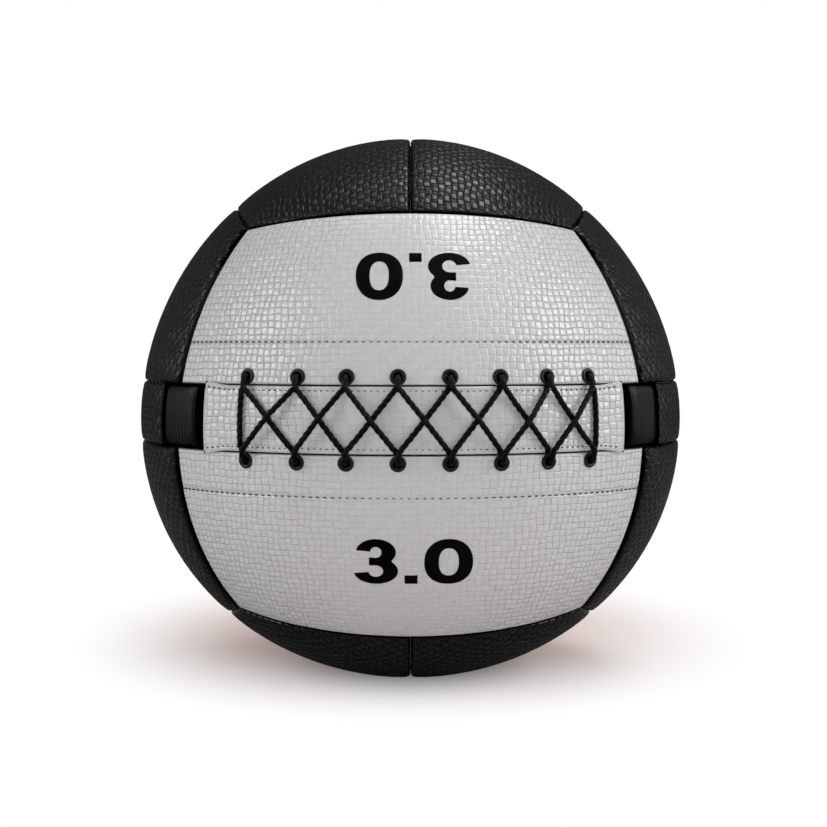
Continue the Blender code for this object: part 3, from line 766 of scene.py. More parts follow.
def coverLevel(ways, place, seams, hems, tone, deep):
    # skin level: rolled edges and soft shoulders at the seams, the emboss, and the dent along the stitches
    size = cover
    drop, shoulder = np.zeros((2, *ways.shape[:-1]))
    near, nearShade, nearHem = np.ones((3, *ways.shape[:-1]))
    for seam in seams:
        gap = np.maximum(distanceTo(seam, ways) - ball["seamGap"] / 2, 0)
        if seam is deep:
            bank = fading(gap, size["deepWidth"]) ** size["deepPower"]
            drop = np.maximum(drop, size["deepDrop"] * bank)
            near = np.minimum(near, gap / size["deepShare"])
            nearShade = np.minimum(nearShade, gap / size["deepShadeShare"])
            continue
        near, nearShade = np.minimum(near, gap), np.minimum(nearShade, gap)
        drop = np.maximum(drop, rollDrop(gap, size["roll"], size["rollDepth"]))
        shoulder = np.maximum(shoulder, size["shoulder"] * np.exp(-gap / size["shoulderWidth"]))
    for hem in hems:
        nearHem = np.maximum(distanceTo(hem, ways) - ball["seamGap"], 0)
        drop = np.maximum(drop, rollDrop(nearHem, size["hemRoll"], size["hemRollDepth"]))
    plain = fading(near - size["roll"] * 0.5, size["plainEdge"])
    plain = np.maximum(plain, fading(nearHem, size["plainHem"]))
    dent = 0.0
    if hems:
        away = np.abs(np.abs(riseOf(ways)) - size["stitchHeight"])
        dent = size["stitchDent"] * bell(away, size["stitchDentWidth"])
        plain = np.maximum(plain, size["stitchPlain"] * bell(away, size["stitchPlainWidth"]))
        plain = np.maximum(plain, pressedFlat(ways))
    # painted shade: 1 deep in a seam and by a hem, near black in the material
    share = 1 - np.minimum(nearShade, nearHem + size["paintedShadeHem"]) / size["paintedShadeWidth"][tone]
    paintedShade = np.clip(size["paintedShadeRise"] * share, 0, 1)
    level = size["relief"] * embossed(place, tone, plain) - dent - shoulder - drop
    return level, dict(plain=plain, paintedShade=paintedShade)


def coverPanel(name, cloth, middle, start, *edges, hems=(), deep=None):
    # edges: left, right, bottom and top seam, as the cloth lies
    tone = "grey" if cloth in ("front", "back") else "black"
    ways = patchGrid(edges, degreesTo(*middle), ball["seamGap"] / 2, cover)[0]
    place = clothPlace(ways, cloths[cloth], start)
    seams = [edge for edge in edges if not any(edge is hem for hem in hems)]
    level, masks = coverLevel(ways, place, seams, hems, tone, deep)
    inner = onBall(ways, np.full(ways.shape[:2], -ball["panelDepth"]))
    return padPiece(name, onBall(ways, level), inner, place, cover["backStep"], tone + "Vinyl",
                    tone + "_vinyl", name, masks, cover["fill"])


def buildCover():
    front, back = (faceLeft, faceRight), (backRight, backLeft)
    hemmed = [
        coverPanel("front_upper_panel", "front", (0, 20), 0.0, *front, hemTop, faceTop, hems=(hemTop,)),
        coverPanel("front_lower_panel", "front", (0, -24), 0.11, *front, faceBottom, hemBottom,
                   hems=(hemBottom,)),
    ]
    coverPanel("back_upper_panel", "back", (180, 20), 0.2, *back, hemTop, backTop)
    coverPanel("back_band", "back", (180, 0), 0.3, *back, hemBottom, hemTop)
    coverPanel("back_lower_panel", "back", (180, -24), 0.4, *back, backBottom, hemBottom)
    for side, x in (("right", 1), ("left", -1)):
        seams = faceRight, backRight, sideTop, sideBottom, bandFront
        face, rear, high, low, bandEnd = [seam if x > 0 else turnedSeam(seam, x=-1) for seam in seams]
        shift, out = 0.07 * x, 90 * x
        coverPanel(side + "_upper_panel", side, (out, 24), 0.5 + shift, face, rear, hemTop, high, deep=face)
        coverPanel(side + "_band", side, (out, 0), 0.7 + shift, bandEnd, rear, hemBottom, hemTop)
        coverPanel(side + "_lower_panel", side, (out, -25), 0.9 + shift, face, rear, low, hemBottom, deep=face)
        coverPanel(f"top_{side}_panel", "top", (out, 70), 0.0, faceTop, backTop, middleSeam, high)
        coverPanel(f"bottom_{side}_panel", "bottom", (out, -70), 0.03, faceBottom, backBottom, middleSeam, low)
    return hemmed


hemmedPanels = buildCover()
print("cover panels made")


# the laced opening: flap, webbing, hem facings, eyelets and washers

lacing = dict(
    count=8, lastAt=math.radians(36.0), pitch=math.radians(9.57), firstExtra=math.radians(1.4),
    rowHeight=23.9 * mm, barStep=2.2 * mm, sideStep=0.8 * mm, notchHeight=17.6 * mm, notchRadius=2.0 * mm,
    holeRadius=3.1 * mm, drillReach=10 * mm, drillSides=28,
)


def eyeletAzimuth(column):
    extra = 0 if column else lacing["firstExtra"]
    return lacing["lastAt"] - (lacing["count"] - 1 - column) * lacing["pitch"] - extra


def notchStep(column):
    # sideways place of the notch where the lace comes up beside the flap, from its eyelet
    if column == 0:
        return -lacing["barStep"]
    return lacing["barStep"] if column == lacing["count"] - 1 else -lacing["sideStep"]


eyeletPlaces = [
    (row, column, eyeletAzimuth(column), row * lacing["rowHeight"])
    for row in (1, -1) for column in range(lacing["count"])
]

flap = dict(
    middle=math.radians(1.0), halfLength=math.radians(43.5), edgeGap=0.2 * mm, thickness=2.2 * mm,
    roll=0.9 * mm, rollDepth=0.7 * mm, endLength=18 * mm, endRise=2.6 * mm, endWidening=1.4 * mm,
    relief=0.15 * mm, plainFrom=0.6 * mm, plainEdge=0.9 * mm, paintedShadeWidth=0.5 * mm, paintedShadeRise=1.5,
    stitchInset=2.8 * mm, stitchDent=0.25 * mm, stitchDentWidth=0.8 * mm, clothStart=0.052,
    spacing=0.85 * mm, backStep=6, fill=0.5,
)


def flapLift(azimuth):
    # 0 along the flap, rising smoothly to 1 at its two ends
    inset = (flap["halfLength"] - np.abs(azimuth - flap["middle"])) * ball["radius"]
    return smoothStep(1 - inset / flap["endLength"])


def buildFlap():
    size = flap
    middle, half = size["middle"], size["halfLength"]
    edges = (seamMeridian(middle - half), seamMeridian(middle + half), hemBottom, hemTop)
    ways, u, v, width, height = patchGrid(edges, wayTo(middle, 0.0), size["edgeGap"], size)
    lift = flapLift(azimuthOf(ways))
    ways[..., 2] *= 1 + lift * size["endWidening"] / ball["openingHalf"]
    ways = unit(ways)
    rowGap = np.minimum(v, 1 - v)[:, None] * height
    gap = np.minimum(np.minimum(u, 1 - u)[None, :] * width, rowGap)
    place = clothPlace(ways, cloths["front"], size["clothStart"])
    plain = np.maximum(fading(gap - size["plainFrom"], size["plainEdge"]), pressedFlat(ways))
    # painted shade along the flap's edges, none at its lifted ends
    paintedShade = np.clip(size["paintedShadeRise"] * (1 - gap / size["paintedShadeWidth"]), 0, 1) * (1 - lift)
    dent = size["stitchDent"] * bell(rowGap - size["stitchInset"], size["stitchDentWidth"])
    body = lift * size["endRise"] - rollDrop(gap, size["roll"], size["rollDepth"])
    level = body + size["relief"] * embossed(place, "grey", plain) - dent
    inner = onBall(ways, lift * size["endRise"] - size["thickness"])
    piece = padPiece("lace_flap_cloth", onBall(ways, level), inner, place, size["backStep"], "greyVinyl",
                     "grey_vinyl", "lace_flap", dict(plain=plain, paintedShade=paintedShade), size["fill"])
    notches = [
        (azimuth + notchStep(column) / ball["radius"], row * lacing["notchHeight"])
        for row, column, azimuth, _ in eyeletPlaces
    ]
    drilled([piece], *drillsThrough(notches, lacing["notchRadius"]))


webbing = dict(
    halfHeight=22.3 * mm, thickness=1.2 * mm, end=math.radians(63.5), foldAt=math.radians(47.4),
    foldWidth=math.radians(1.0), endLevel=-5.3 * mm, crown=2.4 * mm, middleLevel=-11.0 * mm,
    behindLevel=-9.0 * mm, deepAt=math.radians(40), ribWidth=3.9 * mm, ribDepth=1.3 * mm, ribFade=15 * mm,
    ribBow=0.8 * mm, leastRib=0.25, fine=(math.radians(46), math.radians(59.5)), fineStep=0.24 * mm,
    coarseStep=2.0 * mm, rows=57,
)


def webbingLevel(azimuth, height):
    # Near its ends the tape bulges in the opening, then it folds down and runs deep behind the flap: a
    # smooth step between the two levels, with a crown of one minus the eighth power of the height.
    size = webbing
    away = np.abs(azimuth - flap["middle"])
    fold = smoothStep((away - size["foldAt"]) / size["foldWidth"])
    deep = np.clip((away - size["deepAt"]) / (size["foldAt"] - size["deepAt"]), 0, 1)
    crown = size["crown"] * np.clip(1 - (height / ball["openingHalf"]) ** 8, 0, 1)
    low = size["middleLevel"] + deep * (size["behindLevel"] - size["middleLevel"])
    return low + fold * (size["endLevel"] + crown - low), fold


def webbingColumns():
    # azimuths along the tape, close together where its ribs show
    size = webbing
    near, far = size["fine"]
    def run(start, end, step):
        return np.linspace(start, end, round((end - start) * ball["radius"] / step), endpoint=False)
    half = np.concatenate([run(0, near, size["coarseStep"]), run(near, far, size["fineStep"]),
                           np.linspace(far, size["end"], 9)])
    return np.concatenate([-half[:0:-1], half])


def buildWebbing():
    # ribs run up the tape, strongest by its fold, where the cloth is stretched, and fade towards the side
    size = webbing
    azimuth = webbingColumns()[None, :]
    height = np.linspace(-size["halfHeight"], size["halfHeight"], size["rows"])[:, None]
    level, fold = webbingLevel(azimuth, height)
    along = (np.abs(azimuth - flap["middle"]) - size["foldAt"]) * ball["radius"]
    strong = np.clip(1 - along / size["ribFade"], size["leastRib"], 1)
    bow = size["ribBow"] * (height / ball["openingHalf"]) ** 2
    rib = size["ribDepth"] * np.abs(np.sin(math.pi * (along + bow) / size["ribWidth"])) * fold * strong
    ways = wayTo(azimuth, height / ball["radius"])
    points = np.stack([onBall(ways, level + rib), onBall(ways, level - size["thickness"])])
    front = indexGrid(*ways.shape[:2])
    back = front + front.size
    near, far = ringOf(front), ringOf(back)
    rim = np.stack([np.roll(near, -1), near, far, np.roll(far, -1)], -1)
    faces = [gridFaces(front), gridFaces(back)[:, ::-1], rim]
    uv = np.tile(pairs(azimuth * ball["radius"], height), (2, 1))
    makePiece("opening_webbing_cloth", points.reshape(-1, 3), faces, "webbingBlack", "webbing",
              "opening_webbing", uv)


facing = dict(
    level=-3.9 * mm, thickness=0.95 * mm, start=0.5 * mm, height=26 * mm, end=math.radians(48.4),
    columns=161, rows=17, backStep=2,
)


def buildFacings():
    size = facing
    made = []
    azimuth = np.linspace(-size["end"], size["end"], size["columns"])[None, :]
    for half, row in halves:
        height = ball["openingHalf"] + np.linspace(size["start"], size["height"], size["rows"])
        height = height[::row, None] * row
        ways = wayTo(azimuth, height / ball["radius"])
        outer = onBall(ways, np.full(ways.shape[:2], size["level"]))
        inner = onBall(ways, np.full(ways.shape[:2], size["level"] - size["thickness"]))
        place = pairs(azimuth * ball["radius"], height)
        made.append(padPiece(half + "_hem_facing_cloth", outer, inner, place, size["backStep"], "facingGrey",
                             "facing", half + "_hem_facing"))
    return made


eyelet = dict(
    outer=4.7 * mm, hole=2.45 * mm, seat=0.1 * mm, rise=1.05 * mm, domePower=0.8, wall=0.4 * mm,
    depth=6.64 * mm, curlRadius=0.62 * mm, curlDepth=0.3 * mm, lap=0.02 * mm, steps=32,
    washerOuter=4.2 * mm, washerPlay=0.25 * mm, washerTop=-5.45 * mm, washerThickness=0.5 * mm,
    washerEdge=0.12 * mm,
)


def buildEyelets():
    size = eyelet
    barrel = size["hole"] + size["wall"]
    middle, half = (size["outer"] + size["hole"]) / 2, (size["outer"] - size["hole"]) / 2
    dome = [
        (middle + half * math.cos(a), size["seat"] + size["rise"] * math.sin(a) ** size["domePower"])
        for a in np.linspace(0, math.pi, 11)
    ]
    curl = [
        (size["hole"] + size["curlRadius"] * (1 - math.cos(a)),
         -size["depth"] + size["curlDepth"] - size["curlDepth"] * math.sin(a))
        for a in np.linspace(0, math.pi, 6)
    ]
    turned = dome + curl + [(barrel, -size["depth"] + size["wall"]), (barrel, size["seat"] - size["lap"])]
    top, under = size["washerTop"], size["washerTop"] - size["washerThickness"]
    inner, outer, edge = barrel + size["washerPlay"], size["washerOuter"], size["washerEdge"]
    washer = [
        (inner, top - edge), (inner + edge, top), (outer - edge, top), (outer, top - edge),
        (outer, under + edge), (outer - edge, under), (inner + edge, under), (inner, under + edge),
    ]
    for row, column, azimuth, height in eyeletPlaces:
        label = ("upper_" if row > 0 else "lower_") + str(column + 1)
        for kind, profile in (("eyelet", turned), ("washer", washer)):
            points = ringsAt(profile, size["steps"], azimuth, height).reshape(-1, 3)
            faces = [gridFaces(indexGrid(len(profile), size["steps"]), True, True)]
            makePiece(f"{kind}_turned_{label}", points, faces, kind + "Black", kind, f"{kind}_{label}")


buildFlap()
buildWebbing()
facings = buildFacings()
holes = [place[2:] for place in eyeletPlaces]
drilled([*hemmedPanels, *facings], *drillsThrough(holes, lacing["holeRadius"]))
buildEyelets()
print("flap, webbing, facings and eyelets made")


# the lace

lace = dict(
    radius=1.72 * mm, bend=2.4 * mm, step=0.5 * mm, around=20, strands=3, pitch=12.6 * mm, groove=0.34,
    roundness=0.8, tip=0.02, softenReach=3, straight=0.05, arcSteps=9,
    flapLevel=1.8 * mm, crossingLevel=5.0 * mm, flangeLevel=2.9 * mm, humpLevel=4.2 * mm,
    underLevel=-8.9 * mm, hemStep=0.5 * mm, humpRun=6 * mm, crossingHalf=2.5 * mm, bow=0.1, tuck=8 * mm,
    turned=(2, 3, 4),
)


def lacePoint(column, step, height, level):
    azimuth = eyeletAzimuth(column) + step / ball["radius"]
    return onBall(wayTo(azimuth, height / ball["radius"]), level)


def eyeletLoop(row, column):
    # over the hem, down through the eyelet, back under the hem and up through the notch
    side = -1 if column == lacing["count"] - 1 else 1
    notch, up, high = notchStep(column), row * lacing["rowHeight"], row * lacing["notchHeight"]
    return [
        lacePoint(column, side * lace["hemStep"], high, lace["humpLevel"]),
        lacePoint(column, 0, up, lace["flangeLevel"]),
        lacePoint(column, 0, up, lace["underLevel"]),
        lacePoint(column, notch, high, lace["underLevel"]),
        lacePoint(column, notch, high, lace["flapLevel"]),
    ]


def diagonal(row, column):
    # points of the strand across the flap, from one eyelet to the opposite row's next one
    last = column + 2 == lacing["count"]
    start = lacing["sideStep"]
    reach = (eyeletAzimuth(column + 1) - eyeletAzimuth(column)) * ball["radius"]
    end = reach + (-lacing["sideStep"] if last else notchStep(column + 1))
    across = 2 * lacing["notchHeight"]
    if (row < 0) != (column in lace["turned"]):    # it lies over the other strand
        flat = lace["crossingHalf"] / across
        stations = [(0.5 - flat, lace["crossingLevel"]), (0.5 + flat, lace["crossingLevel"])]
    else:
        near = (lace["humpRun"] + lace["crossingHalf"]) / across
        stations = [(share, lace["flapLevel"]) for share in (near, 0.5, 1 - near)]
    high = row * lacing["notchHeight"]
    return [
        lacePoint(column, start + (end - start) * share, high * (1 - 2 * share), level)
        for share, level in stations
    ]


def laceBar(column):
    points = []
    for share in (0.5, 0, -0.5):
        step = notchStep(column) * (1 + lace["bow"] * (1 - abs(share)))
        points.append(lacePoint(column, step, share * lacing["notchHeight"], lace["flapLevel"]))
    return points


def laceRoute():
    # back along both rows, down the bar at the first column, ahead along both rows, and down the last bar
    last = lacing["count"] - 1
    lowerEnd = eyeletLoop(-1, last)
    tuck = -(lacing["rowHeight"] + lace["tuck"])
    route = [lacePoint(last, -lace["tuck"] / 2, tuck, lace["underLevel"])] + lowerEnd[2::-1]
    row = 1
    for column in range(last - 1, -1, -1):
        route += diagonal(row, column)[::-1] + eyeletLoop(row, column)
        row = -row
    route += laceBar(0) + eyeletLoop(-1, 0)[::-1]
    row = -1
    for column in range(last):
        route += diagonal(row, column)
        row = -row
        loop = eyeletLoop(row, column + 1)
        route += loop if column + 1 == last else loop[::-1]
    route += laceBar(last) + lowerEnd[:2:-1]
    return route + [lacePoint(last, notchStep(last) + lace["tuck"] / 2, tuck, lace["underLevel"])]


def roundedRoute(route, bend):
    # each corner gives way to an arc of the bend radius, or of the largest that fits
    points = [route[0]]
    for before, corner, after in zip(route, route[1:], route[2:]):
        lengths = np.linalg.norm(before - corner), np.linalg.norm(after - corner)
        back, ahead = unit(before - corner), unit(after - corner)
        turn = math.pi - math.acos(np.clip(back @ ahead, -1, 1))
        if turn < lace["straight"]:
            points.append(corner)
            continue
        reach = min(bend * math.tan(turn / 2), *(length / 2 for length in lengths))
        share = np.linspace(-1, 1, lace["arcSteps"])[:, None]
        hub = corner + unit(back + ahead) * reach / math.sin(turn / 2)
        start, end = corner + back * reach - hub, corner + ahead * reach - hub
        bow = (1 - share) / 2 * turn
        points += list(hub + (np.sin(bow) * start + np.sin(turn - bow) * end) / math.sin(turn))
    return np.array(points + [route[-1]])


def evenly(points, step):
    along = np.concatenate([[0], np.cumsum(np.linalg.norm(np.diff(points, axis=0), axis=1))])
    stations = np.linspace(0, along[-1], round(along[-1] / step) + 1)
    return np.stack([np.interp(stations, along, points[:, k]) for k in range(3)], 1), stations


def softened(points, reach):
    # running mean with a bell-shaped weight; the two ends stay where they are
    weight = np.exp(-np.linspace(-2, 2, 2 * reach + 1) ** 2)
    weight /= weight.sum()
    padded = np.concatenate([np.repeat(points[:1], reach, 0), points, np.repeat(points[-1:], reach, 0)])
    return np.stack([np.convolve(padded[:, k], weight, "valid") for k in range(3)], 1)


def sidesAlong(points):
    # two side directions that turn as little as they can along a path, carried from station to station
    tangent = unit(np.gradient(points, axis=0))
    side = unit(np.cross(tangent[0], tangent[0][[1, 2, 0]] + 0.1))
    sides = []
    for way in tangent:
        side = side - way * (side @ way)
        side = side / math.sqrt(side @ side)
        sides.append(side)
    return np.array(sides), np.cross(tangent, np.array(sides))


def buildLace():
    # Twisted strands: the radius falls by a share of itself in the grooves between them, and the grooves
    # wind once round in each pitch. Both ends narrow to a point.
    size = lace
    points = evenly(roundedRoute(laceRoute(), size["bend"]), size["step"])[0]
    points, stations = evenly(softened(points, size["softenReach"]), size["step"])
    turn = circle(size["around"])
    phase = turn[None, :] - tau * stations[:, None] / size["pitch"]
    strands = np.abs(np.cos(size["strands"] * phase / 2)) ** size["roundness"]
    radius = size["radius"] * (1 - size["groove"] * (1 - strands))
    end = np.minimum(stations, stations[-1] - stations)
    radius = radius * np.sqrt(np.clip(end / size["radius"], size["tip"], 1))[:, None]
    side, other = [ways[:, None] for ways in sidesAlong(points)]
    around = np.cos(turn)[None, :, None] * side + np.sin(turn)[None, :, None] * other
    surface = points[:, None] + radius[..., None] * around
    makePiece("lace_cord", *cappedTubes(surface[None]), "laceBlack", "lace", "lace",
              pairs(phase * size["radius"], stations[:, None]))
    print(f"lace made, {stations[-1]:.3f} m long")


buildLace()


# stitches

stitch = dict(
    rings=7, sides=6, flatness=0.96, taper=0.7, least=0.7, growth=0.5, growTo=math.radians(40),
)


def stitchRow(name, azimuths, heights, size, base=0.0):
    # Each stitch is a short closed tube along the row: its middle stands proud and its ends dip into the
    # skin. Along it the lift is a quarter ellipse each way, and around it the section is a circle. Stitches
    # grow a little from the middle of the row to its ends.
    east, north, out, ways = [part[:, None, None] for part in frameAt(azimuths, heights)]
    thick = size["thick"]
    share = np.linspace(-1, 1, stitch["rings"])[:, None, None]
    turn = circle(stitch["sides"])[None, :, None]
    lift = thick * (np.sqrt(1 - stitch["flatness"] * share ** 2) - size["sink"])
    thin = thick / 2 * np.sqrt(1 - stitch["taper"] * share ** 4)
    grown = stitch["least"] + stitch["growth"] * np.clip(np.abs(azimuths) / stitch["growTo"], 0, 1)
    grown = grown[:, None, None, None]
    along = share * size["length"] / 2
    points = onBall(ways, np.zeros(ways.shape[:-1])) + east * grown * along
    points = points + north * grown * (thin * np.cos(turn))
    points = points + out * (base + grown * (lift + thin * np.sin(turn)))
    uv = np.tile(pairs(turn * thick / 2, along), (len(azimuths), 1))
    makePiece(name, *cappedTubes(points), "threadDark", "facing", None, uv)


hemStitches = dict(pitch=4.3 * mm, length=2.3 * mm, thick=0.6 * mm, sink=0.6, end=54, inset=1.6 * mm)


def buildStitches():
    # one row along each hem, from side seam to side seam
    size = hemStitches
    rise = cover["stitchHeight"]
    pitch = math.degrees(size["pitch"] / (ball["radius"] * math.cos(rise / ball["radius"])))
    for half, row in halves:
        azimuth = np.radians(np.arange(-size["end"], size["end"] + 0.01, pitch))
        ways = wayTo(azimuth, row * rise / ball["radius"])
        inside = np.ones(len(azimuth), bool)
        for seam in (faceRight, faceLeft):
            inside &= distanceTo(seam, ways) > size["inset"]
            inside &= (ways @ seam[0] < seam[1]) == (degreesTo(0, 0) @ seam[0] < seam[1])
        stitchRow(half + "_hem_stitches", azimuth[inside], np.full(inside.sum(), row * rise), size)


flapStitches = dict(
    pitch=3.6 * mm, length=1.5 * mm, thick=0.6 * mm, sink=0.75, inset=3.0 * mm, end=3.5 * mm,
    base=-0.1 * mm,
)
flapTacks = dict(length=1.4 * mm, thick=1.0 * mm, sink=0.4, inset=0.6 * mm, end=1.2 * mm, base=-0.9 * mm)


def buildFlapStitches():
    # one row along each long edge of the flap, and a dark tack at each of its corners
    size, tack = flapStitches, flapTacks
    edge = flap["halfLength"] - size["end"] / ball["radius"]
    azimuth = flap["middle"] + np.arange(-edge, edge, size["pitch"] / ball["radius"])
    lift = flapLift(azimuth)
    tacks = flap["middle"] + (flap["halfLength"] - tack["end"] / ball["radius"]) * np.array([-1, 1])
    base = (lift * flap["endRise"] + size["base"])[:, None, None, None]
    for half, row in halves:
        name = half + "_flap_stitches"
        height = row * (ball["openingHalf"] - size["inset"] + lift * flap["endWidening"])
        stitchRow(name, azimuth, height, size, base)
        corner = np.full(2, row * (ball["openingHalf"] + flap["endWidening"] - tack["inset"]))
        stitchRow(name + "_tacks", tacks, corner, tack, flap["endRise"] + tack["base"])


buildStitches()
buildFlapStitches()
print("stitches made")


# what lies inside: foam shells, lining, filling and the weight bag

heart = dict(
    gap=0.3 * mm, foamRadius=170.5 * mm, foamWall=8.2 * mm, windowHeight=47 * mm,
    windowEnd=math.radians(66), windowReach=1.1, liningRadius=162.0 * mm, liningWall=1.0 * mm, mouth=45 * mm,
    pleats=40, pleatDepth=0.25 * mm, pleatReach=22 * mm, fillingRadius=160.7 * mm, tuft=0.5 * mm,
    tuftFade=20 * mm, bagRadius=50 * mm, neckRadius=9 * mm, neckLength=16 * mm, folds=14,
    foldDepth=0.7 * mm, pocketNeck=14 * mm, tieRadius=2.2 * mm, tieRing=11.5 * mm, tieTurns=14,
    tieGroove=0.2, tieSteps=160, tieSides=18,
)
facingFront = np.array([[1, 0, 0], [0, 0, 1], [0, -1, 0]], float)    # its rows: side, other side and axis


def arcProfile(radius, start, end, count):
    turn = np.linspace(start, end, count)
    return [(max(0.0, radius * math.sin(a)), radius * math.cos(a)) for a in turn]


def bagProfile(body, neck):
    top, middle = body + heart["neckLength"], body + heart["neckLength"] * 0.5
    return [(0, top), (neck * 0.5, top), (neck, top), (neck, middle)] + arcProfile(
        body, math.asin(neck / body), math.pi, 60
    )


def tufts(turn, radius, height):
    # packed fibre: three crossing sines, only inwards
    wave = np.sin(9 * turn + 60 * height) * np.sin(70 * height) + np.sin(17 * turn - 110 * height) * 0.6
    return heart["tuft"] * np.clip(radius / heart["tuftFade"], 0, 1) * (wave / 3.2 - 0.5)


def buildFoamAndFilling():
    # the foam has a window behind the laced opening, and the filling a pocket for the bag and its tied neck
    size = heart
    middle = math.pi / 2 - 0.5 * size["gap"] / size["foamRadius"]
    shell = arcProfile(size["foamRadius"], 0, middle, 48)
    shell += arcProfile(size["foamRadius"] - size["foamWall"], middle, 0, 48)
    pack = arcProfile(size["fillingRadius"], 0, middle, 60) + [
        (share * size["fillingRadius"], size["gap"] / 2) for share in np.linspace(0.96, 0, 24)
    ]
    shells, packs = [], []
    for half, up in halves:
        shells.append(revolvedPiece(half + "_foam_pad", [(r, up * h) for r, h in shell], 128, "foamCream",
                                    "foam", half + "_foam_shell", 0.9))
        packs.append(revolvedPiece(half + "_filling_fibre", [(r, up * h) for r, h in pack], 128,
                                   "fibreWhite", "filling", half + "_filling", 0.8, ripple=tufts))
    pocket = bagProfile(size["bagRadius"] + size["gap"], size["pocketNeck"])
    drilled(packs, *revolved(pocket, 64, settled=False)[:2])
    reach, near = [part(size["windowEnd"]) for part in (math.sin, math.cos)]
    corners = [(-reach, size["windowReach"]), (reach, size["windowReach"]), (reach, near), (-reach, near)]
    ring = np.array([(x, -y, 0) for x, y in corners]) * ball["radius"]
    window = ring + np.array([0, 0, size["windowHeight"]]) * np.array([-1, 1])[:, None, None]
    drilled(shells, *cappedTubes(ball["centre"] + window[None]))


def pleats(turn, radius, height):
    # small pleats round the lining's mouth
    reach = heart["liningRadius"] * math.cos(math.asin(heart["mouth"] / heart["liningRadius"]))
    near = np.exp(-(reach - height) / heart["pleatReach"])
    return -heart["pleatDepth"] * near * (1 + np.cos(heart["pleats"] * turn)) / 2


def buildLining():
    # a cloth bag open at the laced front and gathered round its mouth
    size = heart
    start = math.asin(size["mouth"] / size["liningRadius"])
    profile = arcProfile(size["liningRadius"], start, math.pi, 96)
    profile += arcProfile(size["liningRadius"] - size["liningWall"], math.pi, start, 96)
    revolvedPiece("lining_cloth", profile, 160, "liningCloth", "lining", "lining", axes=facingFront,
                  closed=True, ripple=pleats)


def folds(turn, radius, height):
    # the bag's cloth gathers in folds towards its neck
    near = np.clip(2 * height / heart["bagRadius"] - 1, 0, 1)
    inwards = np.clip(radius / heart["neckRadius"], 0, 1) * np.abs(np.sin(heart["folds"] / 2 * turn))
    return -heart["foldDepth"] * near * inwards


def buildBag():
    # a round cloth bag, and the twisted cord round its neck
    size = heart
    profile = bagProfile(size["bagRadius"], size["neckRadius"])
    revolvedPiece("weight_bag_cloth", profile, 112, "bagCanvas", "canvas", "weight_bag", 0.95,
                  settled=False, ripple=folds)
    ring, turn = circle(size["tieSteps"])[:, None], circle(size["tieSides"])[None, :]
    strands = np.abs(np.cos(1.5 * (turn - size["tieTurns"] * ring)))
    thick = size["tieRadius"] * (1 - size["tieGroove"] * (1 - strands))
    reach = size["tieRing"] + thick * np.cos(turn)
    high = size["bagRadius"] + size["neckLength"] / 2 + thick * np.sin(turn)
    points = ball["centre"] + np.stack([reach * np.cos(ring), reach * np.sin(ring), high], -1)
    faces = [gridFaces(indexGrid(size["tieSteps"], size["tieSides"]), True, True)]
    uv = pairs(turn * size["tieRadius"], ring * size["tieRing"])
    makePiece("bag_tie_cord", points.reshape(-1, 3), faces, "tieCotton", "tie", "bag_tie", uv)


buildFoamAndFilling()
buildLining()
buildBag()
print("inner pieces made")


# printed numbers

marks = dict(
    tall=30 * mm, stretch=1.2, away=83.7 * mm, azimuth=math.radians(0.6), level=0.13 * mm, thick=0.1 * mm,
    cell=2.5 * mm,
)


def ellipseArc(x, y, rx, ry, start, end, count=20, power=1.0):
    turn = np.radians(np.linspace(start, end, count))
    across, up = [np.sign(wave) * np.abs(wave) ** power for wave in (np.cos(turn), np.sin(turn))]
    return np.stack([x + rx * across, y + ry * up], -1)


def numberOutlines():
    # a heavy plain "3.0" in shares of its height: bowls and counters are ellipse arcs joined end to end
    three = np.concatenate([
        ellipseArc(0.345, 0.72, 0.31, 0.29, 172, -38), ellipseArc(0.345, 0.295, 0.345, 0.305, 42, -170),
        ellipseArc(0.345, 0.295, 0.115, 0.135, -170, 90), [[0.24, 0.43], [0.24, 0.61]],
        ellipseArc(0.345, 0.72, 0.09, 0.12, -90, 172),
    ])
    point = np.array([[0.79, 0.0], [0.99, 0.0], [0.99, 0.2], [0.79, 0.2]])
    ring = ellipseArc(1.47, 0.5, 0.38, 0.51, 0, 354, 60, 0.9)
    counter = ellipseArc(1.47, 0.5, 0.155, 0.31, 0, 354, 40, 0.85)
    return [three, point, ring, counter]


def flatNumbers():
    # the outlines filled as a flat mesh, and cut into cells that can follow the ball
    curve = bpy.data.curves.new("numbers", "CURVE")
    curve.dimensions, curve.fill_mode = "2D", "BOTH"
    for outline in numberOutlines():
        spline = curve.splines.new("POLY")
        spline.points.add(len(outline) - 1)
        flat = np.concatenate([outline * marks["tall"] * np.array([marks["stretch"], 1]), 0 * outline], 1)
        flat[:, 3] = 1
        spline.points.foreach_set("co", flat.ravel().astype(np.float32))
        spline.use_cyclic_u = True
    drawn = placed("numbers", curve)
    bm = bmesh.new()
    bm.from_mesh(finished(drawn))
    bpy.data.objects.remove(drawn)
    bmesh.ops.remove_doubles(bm, verts=list(bm.verts), dist=0.01 * mm)
    wide = max(vert.co.x for vert in bm.verts)
    for axis, reach in ((0, wide), (1, marks["tall"])):
        for place in np.arange(marks["cell"] / 2, reach, marks["cell"]):
            bmesh.ops.bisect_plane(bm, geom=list(bm.verts) + list(bm.edges) + list(bm.faces),
                                   plane_co=upright[axis] * place, plane_no=upright[axis])
    return bm, wide


